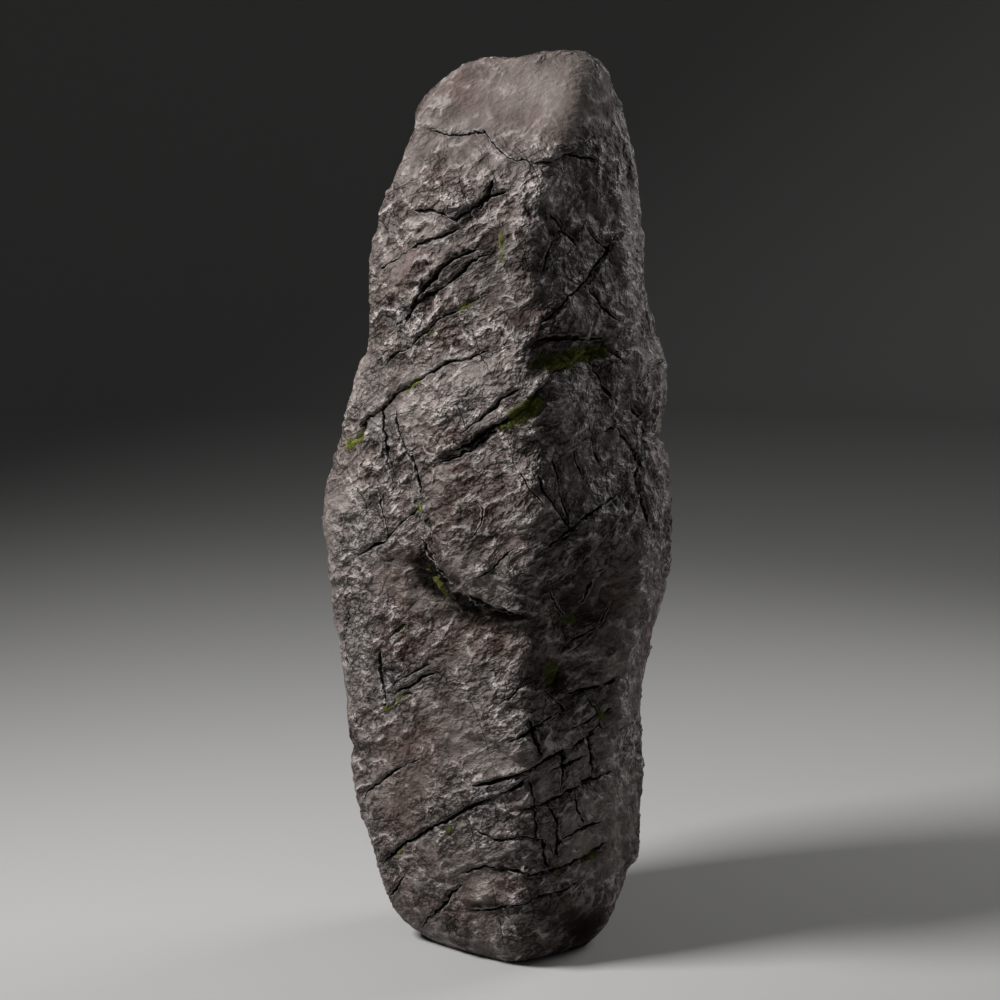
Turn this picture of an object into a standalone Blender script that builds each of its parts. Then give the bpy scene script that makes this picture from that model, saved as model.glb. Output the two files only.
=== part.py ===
"""A standing stone: one upright block of weathered quartzite, two metres tall, on a flat foot.

Frame: metres, +Z up, origin at the middle of the flat foot, front towards -Y.

The block is lofted through its arrises, the worn corner lines that run from foot to crown. On
that loft lie the swells and hollows of its front, the breaks that cross it, and the beds, joints
and facets of broken rock all round. The dense surface is then reduced to a faceted solid whose
edges follow the ledges, and its foot is cut flat.
"""

import itertools
import math
from dataclasses import dataclass
from enum import IntEnum

import bpy
import numpy as np

# Driving dimensions, in metres.
HEIGHT = 2.0
BURIED = 0.03  # how far the loft runs below the foot, before the foot is cut flat
TRIANGLES = 9400
FOOT_FADES = (-0.01, 0.09)  # the heights between which the relief grows, above a plain foot
FRONT_FADES = (0.02, 0.30)  # how squarely the rock faces the front drawing, where the front begins
BEHIND_FADES = (0.12, 0.50)  # how far it faces away, where the back begins
RING_POINTS = 300
RING_SPACING = 0.0075
CROWN_RINGS = 10
CROWN_DOME = 0.008
CORNER_WEAR = 0.017  # how far round a ring a corner is rounded
SWELLING = 0.22  # 0 leaves flat faces between the arrises, 1 a fully curved section
SWELLING_EASE = 0.02  # how gently a flat face turns into a swollen one

# The saddle worn into the crown: its depth, its middle and reach in x, and the heights it fades in.
SADDLE_DEPTH = 0.016
SADDLE_MIDDLE = 0.010
SADDLE_REACH = 0.070
SADDLE_BOTTOM = 1.90
SADDLE_TOP = 1.99

# The front drawing: where its eye stands, how it looks down, and how it is scaled.
EYE = np.array([-0.010, -5.170, 1.928])
LOOKS_DOWN = math.radians(10)
DRAWING_SIZE = 1000.0
HALF_VIEW = 18 / 85

# Each arris as (z, x, y), from the foot to the crown.
ARRISES = {
    "left": [
        (-0.03, -0.105, -0.030), (0.00, -0.168, -0.030), (0.03, -0.218, -0.025), (0.07, -0.260, -0.015),
        (0.12, -0.286, -0.005), (0.22, -0.312, 0.000), (0.36, -0.342, 0.005), (0.60, -0.366, 0.010),
        (0.74, -0.390, 0.015), (0.87, -0.402, 0.020), (0.97, -0.418, 0.020), (1.06, -0.400, 0.020),
        (1.15, -0.376, 0.020), (1.28, -0.343, 0.015), (1.37, -0.310, 0.010), (1.45, -0.298, 0.005),
        (1.55, -0.305, 0.005), (1.63, -0.282, 0.000), (1.72, -0.247, 0.000), (1.81, -0.218, 0.000),
        (1.89, -0.186, 0.000), (1.94, -0.156, 0.005), (1.98, -0.116, 0.010), (2.00, -0.084, 0.010),
    ],
    "front": [
        (-0.03, 0.015, -0.130), (0.00, 0.020, -0.174), (0.03, 0.024, -0.205), (0.10, 0.030, -0.230),
        (0.25, 0.035, -0.248), (0.45, 0.036, -0.260), (0.62, 0.038, -0.262), (0.76, 0.042, -0.262),
        (0.82, 0.045, -0.270), (0.88, 0.048, -0.296), (0.95, 0.052, -0.312), (1.04, 0.056, -0.318),
        (1.14, 0.056, -0.314), (1.25, 0.052, -0.302), (1.40, 0.045, -0.290), (1.55, 0.045, -0.272),
        (1.66, 0.050, -0.258), (1.74, 0.062, -0.242), (1.80, 0.092, -0.214), (1.85, 0.122, -0.176),
        (1.91, 0.146, -0.124), (1.96, 0.150, -0.075), (2.00, 0.140, -0.030),
    ],
    "right_front": [
        (-0.03, 0.150, -0.045), (0.00, 0.188, -0.060), (0.03, 0.212, -0.070), (0.10, 0.234, -0.080),
        (0.25, 0.240, -0.090), (0.45, 0.242, -0.098), (0.60, 0.256, -0.102), (0.80, 0.298, -0.110),
        (1.00, 0.302, -0.115), (1.15, 0.280, -0.120), (1.30, 0.290, -0.105), (1.45, 0.268, -0.098),
        (1.60, 0.258, -0.090), (1.75, 0.250, -0.085), (1.85, 0.228, -0.070), (1.93, 0.205, -0.045),
        (1.98, 0.185, -0.020), (2.00, 0.170, -0.010),
    ],
    "right": [
        (-0.03, 0.145, 0.040), (0.00, 0.196, 0.055), (0.03, 0.238, 0.068), (0.06, 0.258, 0.075),
        (0.10, 0.279, 0.080), (0.16, 0.298, 0.082), (0.25, 0.309, 0.084), (0.44, 0.315, 0.085),
        (0.58, 0.317, 0.086), (0.68, 0.334, 0.088), (0.77, 0.362, 0.090), (0.84, 0.377, 0.090),
        (0.94, 0.381, 0.090), (1.04, 0.377, 0.090), (1.09, 0.364, 0.090), (1.14, 0.351, 0.090),
        (1.21, 0.358, 0.090), (1.275, 0.369, 0.088), (1.36, 0.348, 0.085), (1.45, 0.322, 0.082),
        (1.54, 0.303, 0.080), (1.675, 0.300, 0.075), (1.76, 0.291, 0.070), (1.85, 0.264, 0.060),
        (1.89, 0.254, 0.055), (1.935, 0.236, 0.045), (1.975, 0.212, 0.035), (2.00, 0.180, 0.025),
    ],
    "back_right": [
        (-0.03, 0.090, 0.100), (0.00, 0.130, 0.138), (0.03, 0.165, 0.165), (0.10, 0.202, 0.200),
        (0.30, 0.232, 0.232), (0.60, 0.240, 0.250), (0.90, 0.272, 0.268), (1.10, 0.262, 0.285),
        (1.30, 0.252, 0.258), (1.55, 0.215, 0.222), (1.75, 0.202, 0.190), (1.90, 0.175, 0.138),
        (1.97, 0.150, 0.090), (2.00, 0.130, 0.060),
    ],
    "back": [
        (-0.03, -0.030, 0.110), (0.00, -0.030, 0.162), (0.03, -0.030, 0.200), (0.10, -0.028, 0.246),
        (0.30, -0.015, 0.290), (0.55, -0.018, 0.320), (0.80, -0.035, 0.342), (1.00, -0.022, 0.348),
        (1.20, -0.030, 0.322), (1.45, -0.005, 0.275), (1.65, 0.005, 0.245), (1.82, 0.022, 0.192),
        (1.93, 0.040, 0.132), (1.98, 0.050, 0.090), (2.00, 0.055, 0.062),
    ],
    "back_left": [
        (-0.03, -0.095, 0.060), (0.00, -0.142, 0.090), (0.03, -0.178, 0.118), (0.10, -0.222, 0.155),
        (0.30, -0.262, 0.185), (0.60, -0.300, 0.205), (0.85, -0.318, 0.232), (1.05, -0.316, 0.230),
        (1.25, -0.268, 0.212), (1.45, -0.236, 0.182), (1.65, -0.202, 0.160), (1.80, -0.165, 0.130),
        (1.90, -0.122, 0.098), (1.96, -0.072, 0.070), (2.00, -0.030, 0.045),
    ],
}


@dataclass(frozen=True)
class Swell:
    """A rounded swell of the front, or a hollow where its height is negative."""

    at: tuple[float, float]  # middle, in the front drawing
    reach: tuple[float, float]  # along and across, in the front drawing
    rises: float  # degrees that its long way rises to the right
    height: float  # metres


@dataclass(frozen=True)
class Break:
    """A crack or a ledge that crosses the front, drawn from left to right."""

    line: tuple[tuple[float, float], ...]  # in the front drawing
    depth: float  # of the crack, in metres
    width: float  # half the width of the crack, in the front drawing
    step: float = 0.0  # how far the rock above stands proud of the rock below, in metres
    reach: float = 60.0  # how far up that step fades out, in the front drawing


SWELLS = {
    "shoulder": Swell((432, 184), (48, 28), 24, 0.022),
    "below_the_shoulder": Swell((468, 226), (46, 14), 35, -0.012),
    "left_rib": Swell((416, 264), (44, 15), 38, 0.014),
    "brow": Swell((568, 305), (28, 24), 10, 0.020),
    "mossy_niche": Swell((572, 352), (38, 12), 14, -0.030),
    "lens": Swell((462, 390), (60, 22), 26, 0.026),
    "right_panel": Swell((580, 425), (32, 46), 0, 0.014),
    "right_recess": Swell((642, 436), (34, 8), 82, -0.018),
    "chin": Swell((498, 545), (56, 44), -20, 0.018),
    "under_the_chin_right": Swell((588, 606), (42, 20), 42, -0.030),
    "under_the_chin": Swell((505, 624), (48, 17), -8, -0.012),
    "under_the_chin_left": Swell((440, 588), (32, 16), -42, -0.010),
    "pit": Swell((552, 676), (16, 15), 0, -0.026),
    "belly": Swell((450, 700), (64, 42), 20, 0.012),
    "under_the_lens": Swell((452, 458), (40, 10), 24, -0.014),
    "left_flank": Swell((378, 500), (26, 50), 0, 0.010),
    "low_block": Swell((470, 850), (60, 22), 20, 0.010),
    "low_right_block": Swell((575, 820), (28, 26), 0, 0.008),
    "left_foot": Swell((430, 870), (30, 24), 20, 0.006),
}

BREAKS = {
    "crown_ledge": Break(
        ((418, 122), (445, 131), (485, 129), (497, 146), (510, 155), (537, 161), (552, 158)),
        0.006, 3.5, 0.008, 45,
    ),
    "crown_ledge_right": Break(((552, 160), (571, 147), (587, 137), (603, 125)), 0.006, 3.5, 0.003, 15),
    "shoulder_crease": Break(((455, 219), (471, 206), (488, 193), (494, 177)), 0.010, 4, 0.007, 30),
    "rib_crease": Break(((403, 324), (422, 290), (445, 265), (462, 253), (479, 247)), 0.010, 4, 0.005, 24),
    "rib_crease_low": Break(
        ((395, 326), (412, 308), (432, 290), (452, 278), (470, 262), (492, 250)), 0.008, 3.5, 0.004, 18,
    ),
    "upper_cross": Break(((539, 323), (556, 308), (575, 290), (589, 275), (606, 248), (624, 226)), 0.010, 4),
    "brow_cross": Break(((549, 210), (562, 228), (577, 244)), 0.008, 3.5),
    "upper_seam": Break(
        ((378, 368), (405, 347), (428, 328), (437, 318), (461, 304), (487, 292), (503, 286)),
        0.010, 3.5, 0.003, 24,
    ),
    "middle_seam": Break(
        ((345, 446), (362, 434), (364, 419), (386, 406), (396, 391), (409, 383), (424, 375), (440, 366)),
        0.009, 3.5, 0.004, 22,
    ),
    "mossy_seam": Break(
        ((454, 449), (472, 439), (492, 426), (510, 416), (530, 401), (541, 386), (553, 370), (576, 355), (606, 341)),
        0.014, 4, 0.010, 40,
    ),
    "niche_roof": Break(((534, 340), (548, 336), (566, 335), (584, 337), (602, 336)), 0.010, 4, 0.010, 26),
    "left_seam": Break(
        ((343, 568), (353, 558), (373, 545), (389, 535), (406, 515), (421, 506)), 0.008, 3.5, 0.002, 20,
    ),
    "left_joint": Break(((397, 411), (399, 426), (404, 446), (412, 461)), 0.007, 3.5),
    "right_joint": Break(((536, 471), (543, 487), (552, 503), (562, 518), (569, 530)), 0.008, 3.5),
    "rim_crack": Break(
        ((534, 556), (548, 543), (568, 526), (596, 505), (613, 494), (627, 485)), 0.007, 3.5, 0.002, 14,
    ),
    "chin_left": Break(((421, 505), (425, 516), (432, 533), (440, 548)), 0.006, 3, 0.010, 26),
    "chin_rim": Break(
        ((420, 536), (432, 556), (447, 575), (464, 590), (486, 601), (508, 608), (532, 611)),
        0.010, 4, 0.020, 42,
    ),
    "chin_rim_right": Break(((530, 607), (553, 583), (585, 555), (614, 522), (626, 496)), 0.002, 5, 0.020, 45),
    "right_recess": Break(((652, 530), (642, 500), (635, 474), (641, 452), (639, 425), (630, 398)), 0.012, 4),
    "under_chin": Break(((560, 651), (573, 640), (588, 632), (601, 621), (614, 595)), 0.008, 3.5, 0.003, 12),
    "pit_seam": Break(((498, 704), (508, 698), (526, 681), (536, 676)), 0.007, 3.5),
    "pit_seam_right": Break(((570, 692), (582, 690), (592, 687), (606, 683), (618, 677)), 0.009, 3.5, 0.004, 12),
    "star": Break(((572, 728), (585, 722), (598, 714), (612, 708)), 0.008, 3.5),
    "left_notch": Break(((348, 663), (343, 640), (348, 611)), 0.009, 3.5, -0.005, 12),
    "left_upright": Break(((378, 651), (380, 668), (382, 688), (385, 706)), 0.008, 3.5),
    "low_left_seam": Break(
        ((362, 800), (368, 791), (373, 786), (392, 773), (407, 764), (423, 757)), 0.008, 3.5, 0.002, 16,
    ),
    "low_main_seam": Break(
        ((378, 866), (406, 843), (428, 830), (447, 819), (472, 806), (493, 797), (520, 784), (534, 772)),
        0.012, 4, 0.004, 20,
    ),
    "low_upper_seam": Break(
        ((470, 785), (493, 781), (519, 775), (548, 759), (572, 747), (590, 735), (601, 722)),
        0.008, 3.5, 0.003, 14,
    ),
    "low_right_seam": Break(
        ((512, 809), (526, 807), (540, 804), (555, 798), (584, 783), (612, 772)), 0.011, 4, 0.003, 16,
    ),
    "low_joint": Break(((549, 802), (557, 823), (557, 853)), 0.009, 3.5),
    "foot_seam_left": Break(((460, 872), (483, 867), (506, 868), (528, 873)), 0.008, 3.5, 0.002, 12),
    "foot_seam": Break(((526, 875), (548, 871), (567, 864), (587, 855), (607, 841)), 0.012, 4, 0.004, 18),
    "foot_crease": Break(((421, 927), (430, 917), (440, 908), (452, 894), (464, 884)), 0.010, 3.5, 0.003, 14),
    "foot_ledge": Break(((464, 911), (498, 908), (526, 903), (560, 891), (586, 878)), 0.007, 3.5, 0.004, 16),
}

# Faces that split clean, where little of the broken rock's relief is left. Their last number is how
# clean they are, 1 for quite clean, and a larger one for a wider clean middle.
CLEAN_FACES = {
    "crown": Swell((518, 90), (98, 50), 0, 1.6),
    "low_right": Swell((585, 920), (34, 22), 0, 0.9),
}
CLEAN_SHARE = 0.85  # how much of the relief such a face has lost

# Beds and joints of the rock: the way each set faces and its spacing, then how the blocks between
# them stand proud of each other and how their edges wander.
BEDS_FACE = np.array([-0.50, 0.12, 0.86])
JOINTS_FACE = np.array([0.93, 0.26, 0.26])
BED_SPACING = 0.21
JOINT_SPACING = 0.26
BLOCK_STEP = 0.011
BLOCK_PROUD, BLOCK_LEAN = 0.8, 0.9  # shares of that step by which a block stands out and leans out
BLOCK_EDGE = 0.022
BLOCK_CRACK = 0.009
BLOCK_CRACK_WIDTH = 0.008
BED_BEND, BED_BEND_SIZE = 0.016, 0.22
JOINT_BEND, JOINT_BEND_SIZE = 0.014, 0.18
EDGE_BEND, EDGE_BEND_SIZE = 0.004, 0.03

# Facets and lumps of broken rock all round: their size and height, then how much of them there is
# behind, at the crown's front, and further down the front than the crown.
FACET_SIZE = 0.17
FACET_HEIGHT = 0.028
SMALL_FACET_SIZE = 0.075
SMALL_FACET_HEIGHT = 0.010
LUMP_SIZE = 0.30
LUMP_HEIGHT = 0.010
BROKEN_BEHIND = 0.8
BROKEN_CROWN = 0.14
BROKEN_FRONT = 0.38
CROWN_FADES = (60, 160)  # in the front drawing

# How far the front drawing's lines wander, in the drawing's units, and over how many metres.
WANDER, WANDER_SIZE = 2.2, 0.06


class Seed(IntEnum):
    """The pattern of each noise, so that no two are alike."""

    WANDER_ACROSS = 11
    WANDER_DOWN = 12
    FACETS = 21
    SMALL_FACETS = 23
    LUMPS = 25
    BED_BEND = 31
    JOINT_BEND = 32
    JOINT_SHIFT = 33
    PROUD = 34
    EDGE_BEND = 35


LATTICE_PRIMES = np.array([73856093, 19349663, 83492791])
HASHES = 256
GRADIENTS = np.random.default_rng(4).normal(size=(HASHES, 3))
GRADIENTS /= np.linalg.norm(GRADIENTS, axis=1, keepdims=True)
NOISE_GAIN = 1.7  # brings the noise to about -1 to 1
FACET_SCATTER = 0.4  # how far a facet's middle strays from its cell's middle, in cells
FACET_SHARPNESS = 30.0
BREAK_TAPER = 0.12  # the share of a break's length over which each end fades out
BREAK_BLUNT = 4  # how far past its end a break still shows, in the front drawing


def smooth_step(value, low, high):
    """0 below low, 1 above high, and a smooth rise between them."""
    t = np.clip((value - low) / (high - low), 0, 1)
    return t * t * (3 - 2 * t)


def lattice_number(cells, seed):
    """A number from 0 to 255 for each cell of a lattice, always the same for one seed."""
    mixed = (cells.astype(np.int64) * LATTICE_PRIMES[: cells.shape[-1]]).sum(axis=-1) + seed * 7919
    mixed = (mixed ^ (mixed >> 13)) * 1274126177 & 0xFFFFFFFF
    return (mixed ^ (mixed >> 16)) % HASHES


def noise(points, size, seed):
    """Smooth gradient noise, about -1 to 1, with bumps of this size."""
    scaled = points / size
    cell = np.floor(scaled)
    inside = scaled - cell
    ease = inside**3 * (inside * (inside * 6 - 15) + 10)
    total = np.zeros(len(points))
    for corner in itertools.product((0, 1), repeat=3):
        weight = np.where(corner, ease, 1 - ease).prod(axis=1)
        gradient = GRADIENTS[lattice_number(cell + corner, seed)]
        total += weight * ((inside - corner) * gradient).sum(axis=1)
    return total * NOISE_GAIN


def facets(points, size, seed):
    """Tilted facets, each about this size across, with worn edges between them."""
    scaled = points / size
    cell = np.floor(scaled)
    total, weights = np.zeros(len(points)), np.full(len(points), 1e-12)
    for offset in itertools.product((-1, 0, 1), repeat=3):
        near = cell + offset
        middle = near + 0.5 + FACET_SCATTER * GRADIENTS[lattice_number(near, seed)]
        away = scaled - middle
        weight = np.exp(-FACET_SHARPNESS * (away**2).sum(axis=1))
        tilt = GRADIENTS[lattice_number(near, seed + 1)]
        total += weight * (away * tilt).sum(axis=1)
        weights += weight
    return total / weights


def along(knots, heights):
    """The x and y of a smooth line through an arris's knots, at these heights."""
    z, *plan = np.array(knots).T
    left = np.clip(np.searchsorted(z, heights, side="right") - 1, 0, len(z) - 2)
    span = z[left + 1] - z[left]
    t = (heights - z[left]) / span
    start, end = 2 * t**3 - 3 * t**2 + 1, 3 * t**2 - 2 * t**3
    leave, arrive = t**3 - 2 * t**2 + t, t**3 - t**2
    lines = []
    for values in plan:
        slope = np.gradient(values, z)
        bent = span * (leave * slope[left] + arrive * slope[left + 1])
        lines.append(start * values[left] + end * values[left + 1] + bent)
    return np.stack(lines, axis=-1)


def ring_radii(spokes, angles):
    """The radius of one level ring at each angle, from the spokes to its arrises."""
    bearing = np.arctan2(spokes[:, 1], spokes[:, 0])
    order = np.argsort(bearing)
    bearing, radius = bearing[order], np.hypot(*spokes[order].T)
    bearing = np.concatenate([bearing - math.tau, bearing, bearing + math.tau])
    radius = np.tile(radius, 3)
    at = np.searchsorted(bearing, angles, side="right") - 1
    a, b, ra, rb = bearing[at], bearing[at + 1], radius[at], radius[at + 1]
    flat = ra * rb * np.sin(b - a) / (ra * np.sin(angles - a) + rb * np.sin(b - angles))
    bulge = ra + (rb - ra) * smooth_step(angles, a, b) - flat
    return flat + SWELLING * (bulge + np.hypot(bulge, SWELLING_EASE)) / 2


def worn(radii):
    """Rings of radii with their corners rounded."""
    turns = np.arange(radii.shape[1] // 2 + 1)
    blur = np.exp(-0.5 * (turns * CORNER_WEAR / radii.mean(axis=1, keepdims=True)) ** 2)
    return np.fft.irfft(np.fft.rfft(radii) * blur, radii.shape[1])


def loft():
    """The points of the smooth block, ring by ring from the bottom middle to the crown's middle."""
    heights = np.linspace(-BURIED, HEIGHT, round((HEIGHT + BURIED) / RING_SPACING) + 1)
    corners = np.stack([along(knots, heights) for knots in ARRISES.values()], axis=1)
    centres = corners.mean(axis=1)
    angles = np.linspace(-math.pi, math.pi, RING_POINTS, endpoint=False)
    radii = worn(np.stack([ring_radii(c - m, angles) for c, m in zip(corners, centres)]))
    inward = 1 - np.arange(1, CROWN_RINGS) / CROWN_RINGS
    radii = np.concatenate([radii, radii[-1] * inward[:, None]])
    centres = np.concatenate([centres, np.repeat(centres[-1:], CROWN_RINGS - 1, axis=0)])
    heights = np.concatenate([heights, HEIGHT + CROWN_DOME * (1 - inward**2)])
    spoke = np.stack([np.cos(angles), np.sin(angles)], axis=-1)
    plan = centres[:, None] + radii[..., None] * spoke
    rings = np.concatenate([plan, np.broadcast_to(heights[:, None, None], (*plan.shape[:2], 1))], axis=-1)
    bottom = np.array([[*centres[0], -BURIED]])
    top = np.array([[*centres[-1], HEIGHT + CROWN_DOME]])
    return np.concatenate([bottom, rings.reshape(-1, 3), top])


def loft_faces(point_count):
    """The faces between the rings, and the fans that close the two ends."""
    ring_count = (point_count - 2) // RING_POINTS
    here = np.arange(RING_POINTS)
    after = (here + 1) % RING_POINTS
    faces = [(0, 1 + int(b), 1 + int(a)) for a, b in zip(here, after)]
    for ring in range(ring_count - 1):
        low, high = 1 + ring * RING_POINTS, 1 + (ring + 1) * RING_POINTS
        faces += [
            (int(low + a), int(low + b), int(high + b), int(high + a)) for a, b in zip(here, after)
        ]
    last = 1 + (ring_count - 1) * RING_POINTS
    faces += [(int(last + a), int(last + b), point_count - 1) for a, b in zip(here, after)]
    return faces


def drawn(points):
    """Where the front drawing shows these points, x to the right and y down."""
    away = points - EYE
    down, level = math.sin(LOOKS_DOWN), math.cos(LOOKS_DOWN)
    distance = away[:, 1] * level - away[:, 2] * down
    rise = away[:, 1] * down + away[:, 2] * level
    scale = DRAWING_SIZE / 2 / HALF_VIEW / distance
    return DRAWING_SIZE / 2 + np.stack([away[:, 0] * scale, -rise * scale], axis=-1)


def swell_height(drawing, swell):
    """How far one swell lifts each point of the front drawing."""
    turn = math.radians(swell.rises)
    away = drawing - swell.at
    lengthways = away[:, 0] * math.cos(turn) - away[:, 1] * math.sin(turn)
    crossways = away[:, 0] * math.sin(turn) + away[:, 1] * math.cos(turn)
    spread = (lengthways / swell.reach[0]) ** 2 + (crossways / swell.reach[1]) ** 2
    return swell.height * np.exp(-spread)


def break_height(drawing, crack):
    """How far one break lifts or lowers each point of the front drawing."""
    line = np.array(crack.line)
    best = np.full(len(drawing), np.inf)
    above = np.zeros(len(drawing))
    passed = np.zeros(len(drawing))
    lengths = np.hypot(*np.diff(line, axis=0).T)
    run = 0.0
    for start, end, length in zip(line, line[1:], lengths):
        way = (end - start) / length
        away = drawing - start
        reached = np.clip(away @ way, 0, length)
        distance = np.hypot(*(away - reached[:, None] * way).T)
        nearer = distance < best
        side = way[1] * away[:, 0] - way[0] * away[:, 1]
        best = np.where(nearer, distance, best)
        above = np.where(nearer, np.sign(side) * distance, above)
        passed = np.where(nearer, run + reached, passed)
        run += length
    taper = smooth_step(np.minimum(passed, run - passed), -BREAK_BLUNT, BREAK_TAPER * run)
    groove = -crack.depth * np.exp(-((best / crack.width) ** 2))
    upper = smooth_step(above, -crack.width, crack.width) * np.exp(-np.maximum(above, 0) / crack.reach)
    beside = np.exp(-((np.maximum(best - np.abs(above), 0) / crack.width) ** 2))
    return taper * (groove + crack.step * upper * beside)


def jointed_blocks(points):
    """How the blocks between beds and joints stand proud of each other, and the cracks between them."""
    along_beds = points @ BEDS_FACE + BED_BEND * noise(points, BED_BEND_SIZE, Seed.BED_BEND)
    along_joints = points @ JOINTS_FACE + JOINT_BEND * noise(points, JOINT_BEND_SIZE, Seed.JOINT_BEND)
    bed_place = along_beds / BED_SPACING
    bed = np.floor(bed_place)
    joint_shift = lattice_number(bed[:, None], Seed.JOINT_SHIFT) / HASHES
    joint_place = along_joints / JOINT_SPACING + joint_shift
    joint = np.floor(joint_place)
    proud = lattice_number(np.stack([bed, joint], axis=-1), Seed.PROUD) / (HASHES / 2) - 1
    from_bed = np.abs(bed_place - np.round(bed_place)) * BED_SPACING
    from_joint = np.abs(joint_place - np.round(joint_place)) * JOINT_SPACING
    edge = np.minimum(from_bed, from_joint) + EDGE_BEND * noise(points, EDGE_BEND_SIZE, Seed.EDGE_BEND)
    leaning = bed_place - bed - 0.5
    standing = BLOCK_PROUD * proud + BLOCK_LEAN * leaning
    face = BLOCK_STEP * smooth_step(edge, 0, BLOCK_EDGE) * standing
    return face - BLOCK_CRACK * np.exp(-((edge / BLOCK_CRACK_WIDTH) ** 2))


def facing_front(points, normals):
    """How squarely each point faces the front drawing's eye, 1 head on and below 0 turned away."""
    to_eye = EYE - points
    to_eye /= np.linalg.norm(to_eye, axis=1, keepdims=True)
    return (normals * to_eye).sum(axis=1)


def broken_rock(points, front_share):
    """The facets and lumps of broken rock, with this share of them at each point."""
    height = FACET_HEIGHT * facets(points, FACET_SIZE, Seed.FACETS)
    height += SMALL_FACET_HEIGHT * facets(points, SMALL_FACET_SIZE, Seed.SMALL_FACETS)
    height += LUMP_HEIGHT * noise(points, LUMP_SIZE, Seed.LUMPS)
    return height * front_share


def relief(points, normals):
    """How far the rock stands off the smooth block at each point."""
    facing = facing_front(points, normals)
    front = smooth_step(facing, *FRONT_FADES)
    behind = smooth_step(-facing, *BEHIND_FADES)
    below_crown = smooth_step(drawn(points)[:, 1], *CROWN_FADES)
    in_front = BROKEN_CROWN + (BROKEN_FRONT - BROKEN_CROWN) * below_crown
    broken = broken_rock(points, BROKEN_BEHIND * behind + (1 - behind) * in_front)

    # The drawing shows the swollen rock, so the breaks are looked up where that rock appears.
    swollen = broken + front * sum(swell_height(drawn(points), swell) for swell in SWELLS.values())
    drawing = drawn(points + swollen[:, None] * normals)
    across = noise(points, WANDER_SIZE, Seed.WANDER_ACROSS)
    down = noise(points, WANDER_SIZE, Seed.WANDER_DOWN)
    drawing += WANDER * np.stack([across, down], axis=-1)
    drawn_height = sum(swell_height(drawing, swell) for swell in SWELLS.values())
    drawn_height = drawn_height + sum(break_height(drawing, crack) for crack in BREAKS.values())
    clean = np.minimum(sum(swell_height(drawing, face) for face in CLEAN_FACES.values()), 1)
    kept = 1 - CLEAN_SHARE * clean * front
    height = front * drawn_height + kept * broken + behind * jointed_blocks(points)
    return height * smooth_step(points[:, 2], *FOOT_FADES)


def new_mesh(name, points, faces):
    """A mesh from points and faces."""
    mesh = bpy.data.meshes.new(name)
    mesh.from_pydata([tuple(point) for point in points.tolist()], [], faces)
    mesh.update()
    return mesh


def vertex_normals(mesh):
    """The normal at each vertex of a mesh, as an array."""
    normals = np.empty(3 * len(mesh.vertices), dtype=np.float32)
    mesh.vertex_normals.foreach_get("vector", normals)
    return normals.reshape(-1, 3).astype(float)


def stone_mesh():
    """The dense surface of the stone, closed, with its foot still to be cut."""
    points = loft()
    faces = loft_faces(len(points))
    smooth = new_mesh("smooth_block", points, faces)
    normals = vertex_normals(smooth)
    bpy.data.meshes.remove(smooth)
    carved = points + relief(points, normals)[:, None] * normals
    saddle = np.exp(-(((carved[:, 0] - SADDLE_MIDDLE) / SADDLE_REACH) ** 2))
    carved[:, 2] -= SADDLE_DEPTH * saddle * smooth_step(carved[:, 2], SADDLE_BOTTOM, SADDLE_TOP)
    carved[:, 2] *= np.where(carved[:, 2] > 0, HEIGHT / carved[:, 2].max(), 1)
    return new_mesh("stone", carved, faces)


def foot_cutter():
    """The block that the stone's foot is cut flat with, its top level with the ground."""
    size, depth = 1.2, 0.2
    corners = list(itertools.product((-size / 2, size / 2), (-size / 2, size / 2), (-depth, 0)))
    faces = [(0, 1, 3, 2), (4, 6, 7, 5), (0, 4, 5, 1), (2, 3, 7, 6), (0, 2, 6, 4), (1, 5, 7, 3)]
    cutter = bpy.data.objects.new("foot_cutter", new_mesh("foot_cutter", np.array(corners), faces))
    cutter.hide_render = True
    cutter.display_type = "WIRE"
    bpy.context.collection.objects.link(cutter)
    return cutter


def weathered_quartzite():
    """Grey-brown rock, broken along its beds and weathered matt."""
    material = bpy.data.materials.new("weathered_quartzite")
    material.use_nodes = True
    shader = material.node_tree.nodes["Principled BSDF"]
    shader.inputs["Base Color"].default_value = (0.175, 0.155, 0.143, 1)
    shader.inputs["Roughness"].default_value = 0.62
    shader.inputs["Metallic"].default_value = 0
    return material


def build_stone():
    """The stone, with the modifiers that reduce it to facets and cut its foot."""
    mesh = stone_mesh()
    stone = bpy.data.objects.new("stone", mesh)
    bpy.context.collection.objects.link(stone)
    mesh.materials.append(weathered_quartzite())
    triangles = sum(len(face.vertices) - 2 for face in mesh.polygons)
    reduce = stone.modifiers.new("reduce_to_facets", "DECIMATE")
    reduce.ratio = TRIANGLES / triangles
    cut = stone.modifiers.new("cut_foot_flat", "BOOLEAN")
    cut.operation = "DIFFERENCE"
    cut.solver = "EXACT"
    cut.object = foot_cutter()


for leftover in list(bpy.data.objects):
    bpy.data.objects.remove(leftover)
build_stone()
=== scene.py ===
"""The looks of a standing stone: its broken, weathered skin, the moss in its cracks, and a studio.

Everything is in metres in the part's own frame: +Z up, the origin at the middle of the flat foot,
and the front towards -Y. The skin stands for the solid node "stone". It is built on the same loft
through the same arrises, swells and breaks, and then gets the fine relief that the solid leaves out.
"""

from __future__ import annotations

import dataclasses
import itertools
import logging
import math
from dataclasses import dataclass
from enum import Enum
from functools import partial

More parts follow.
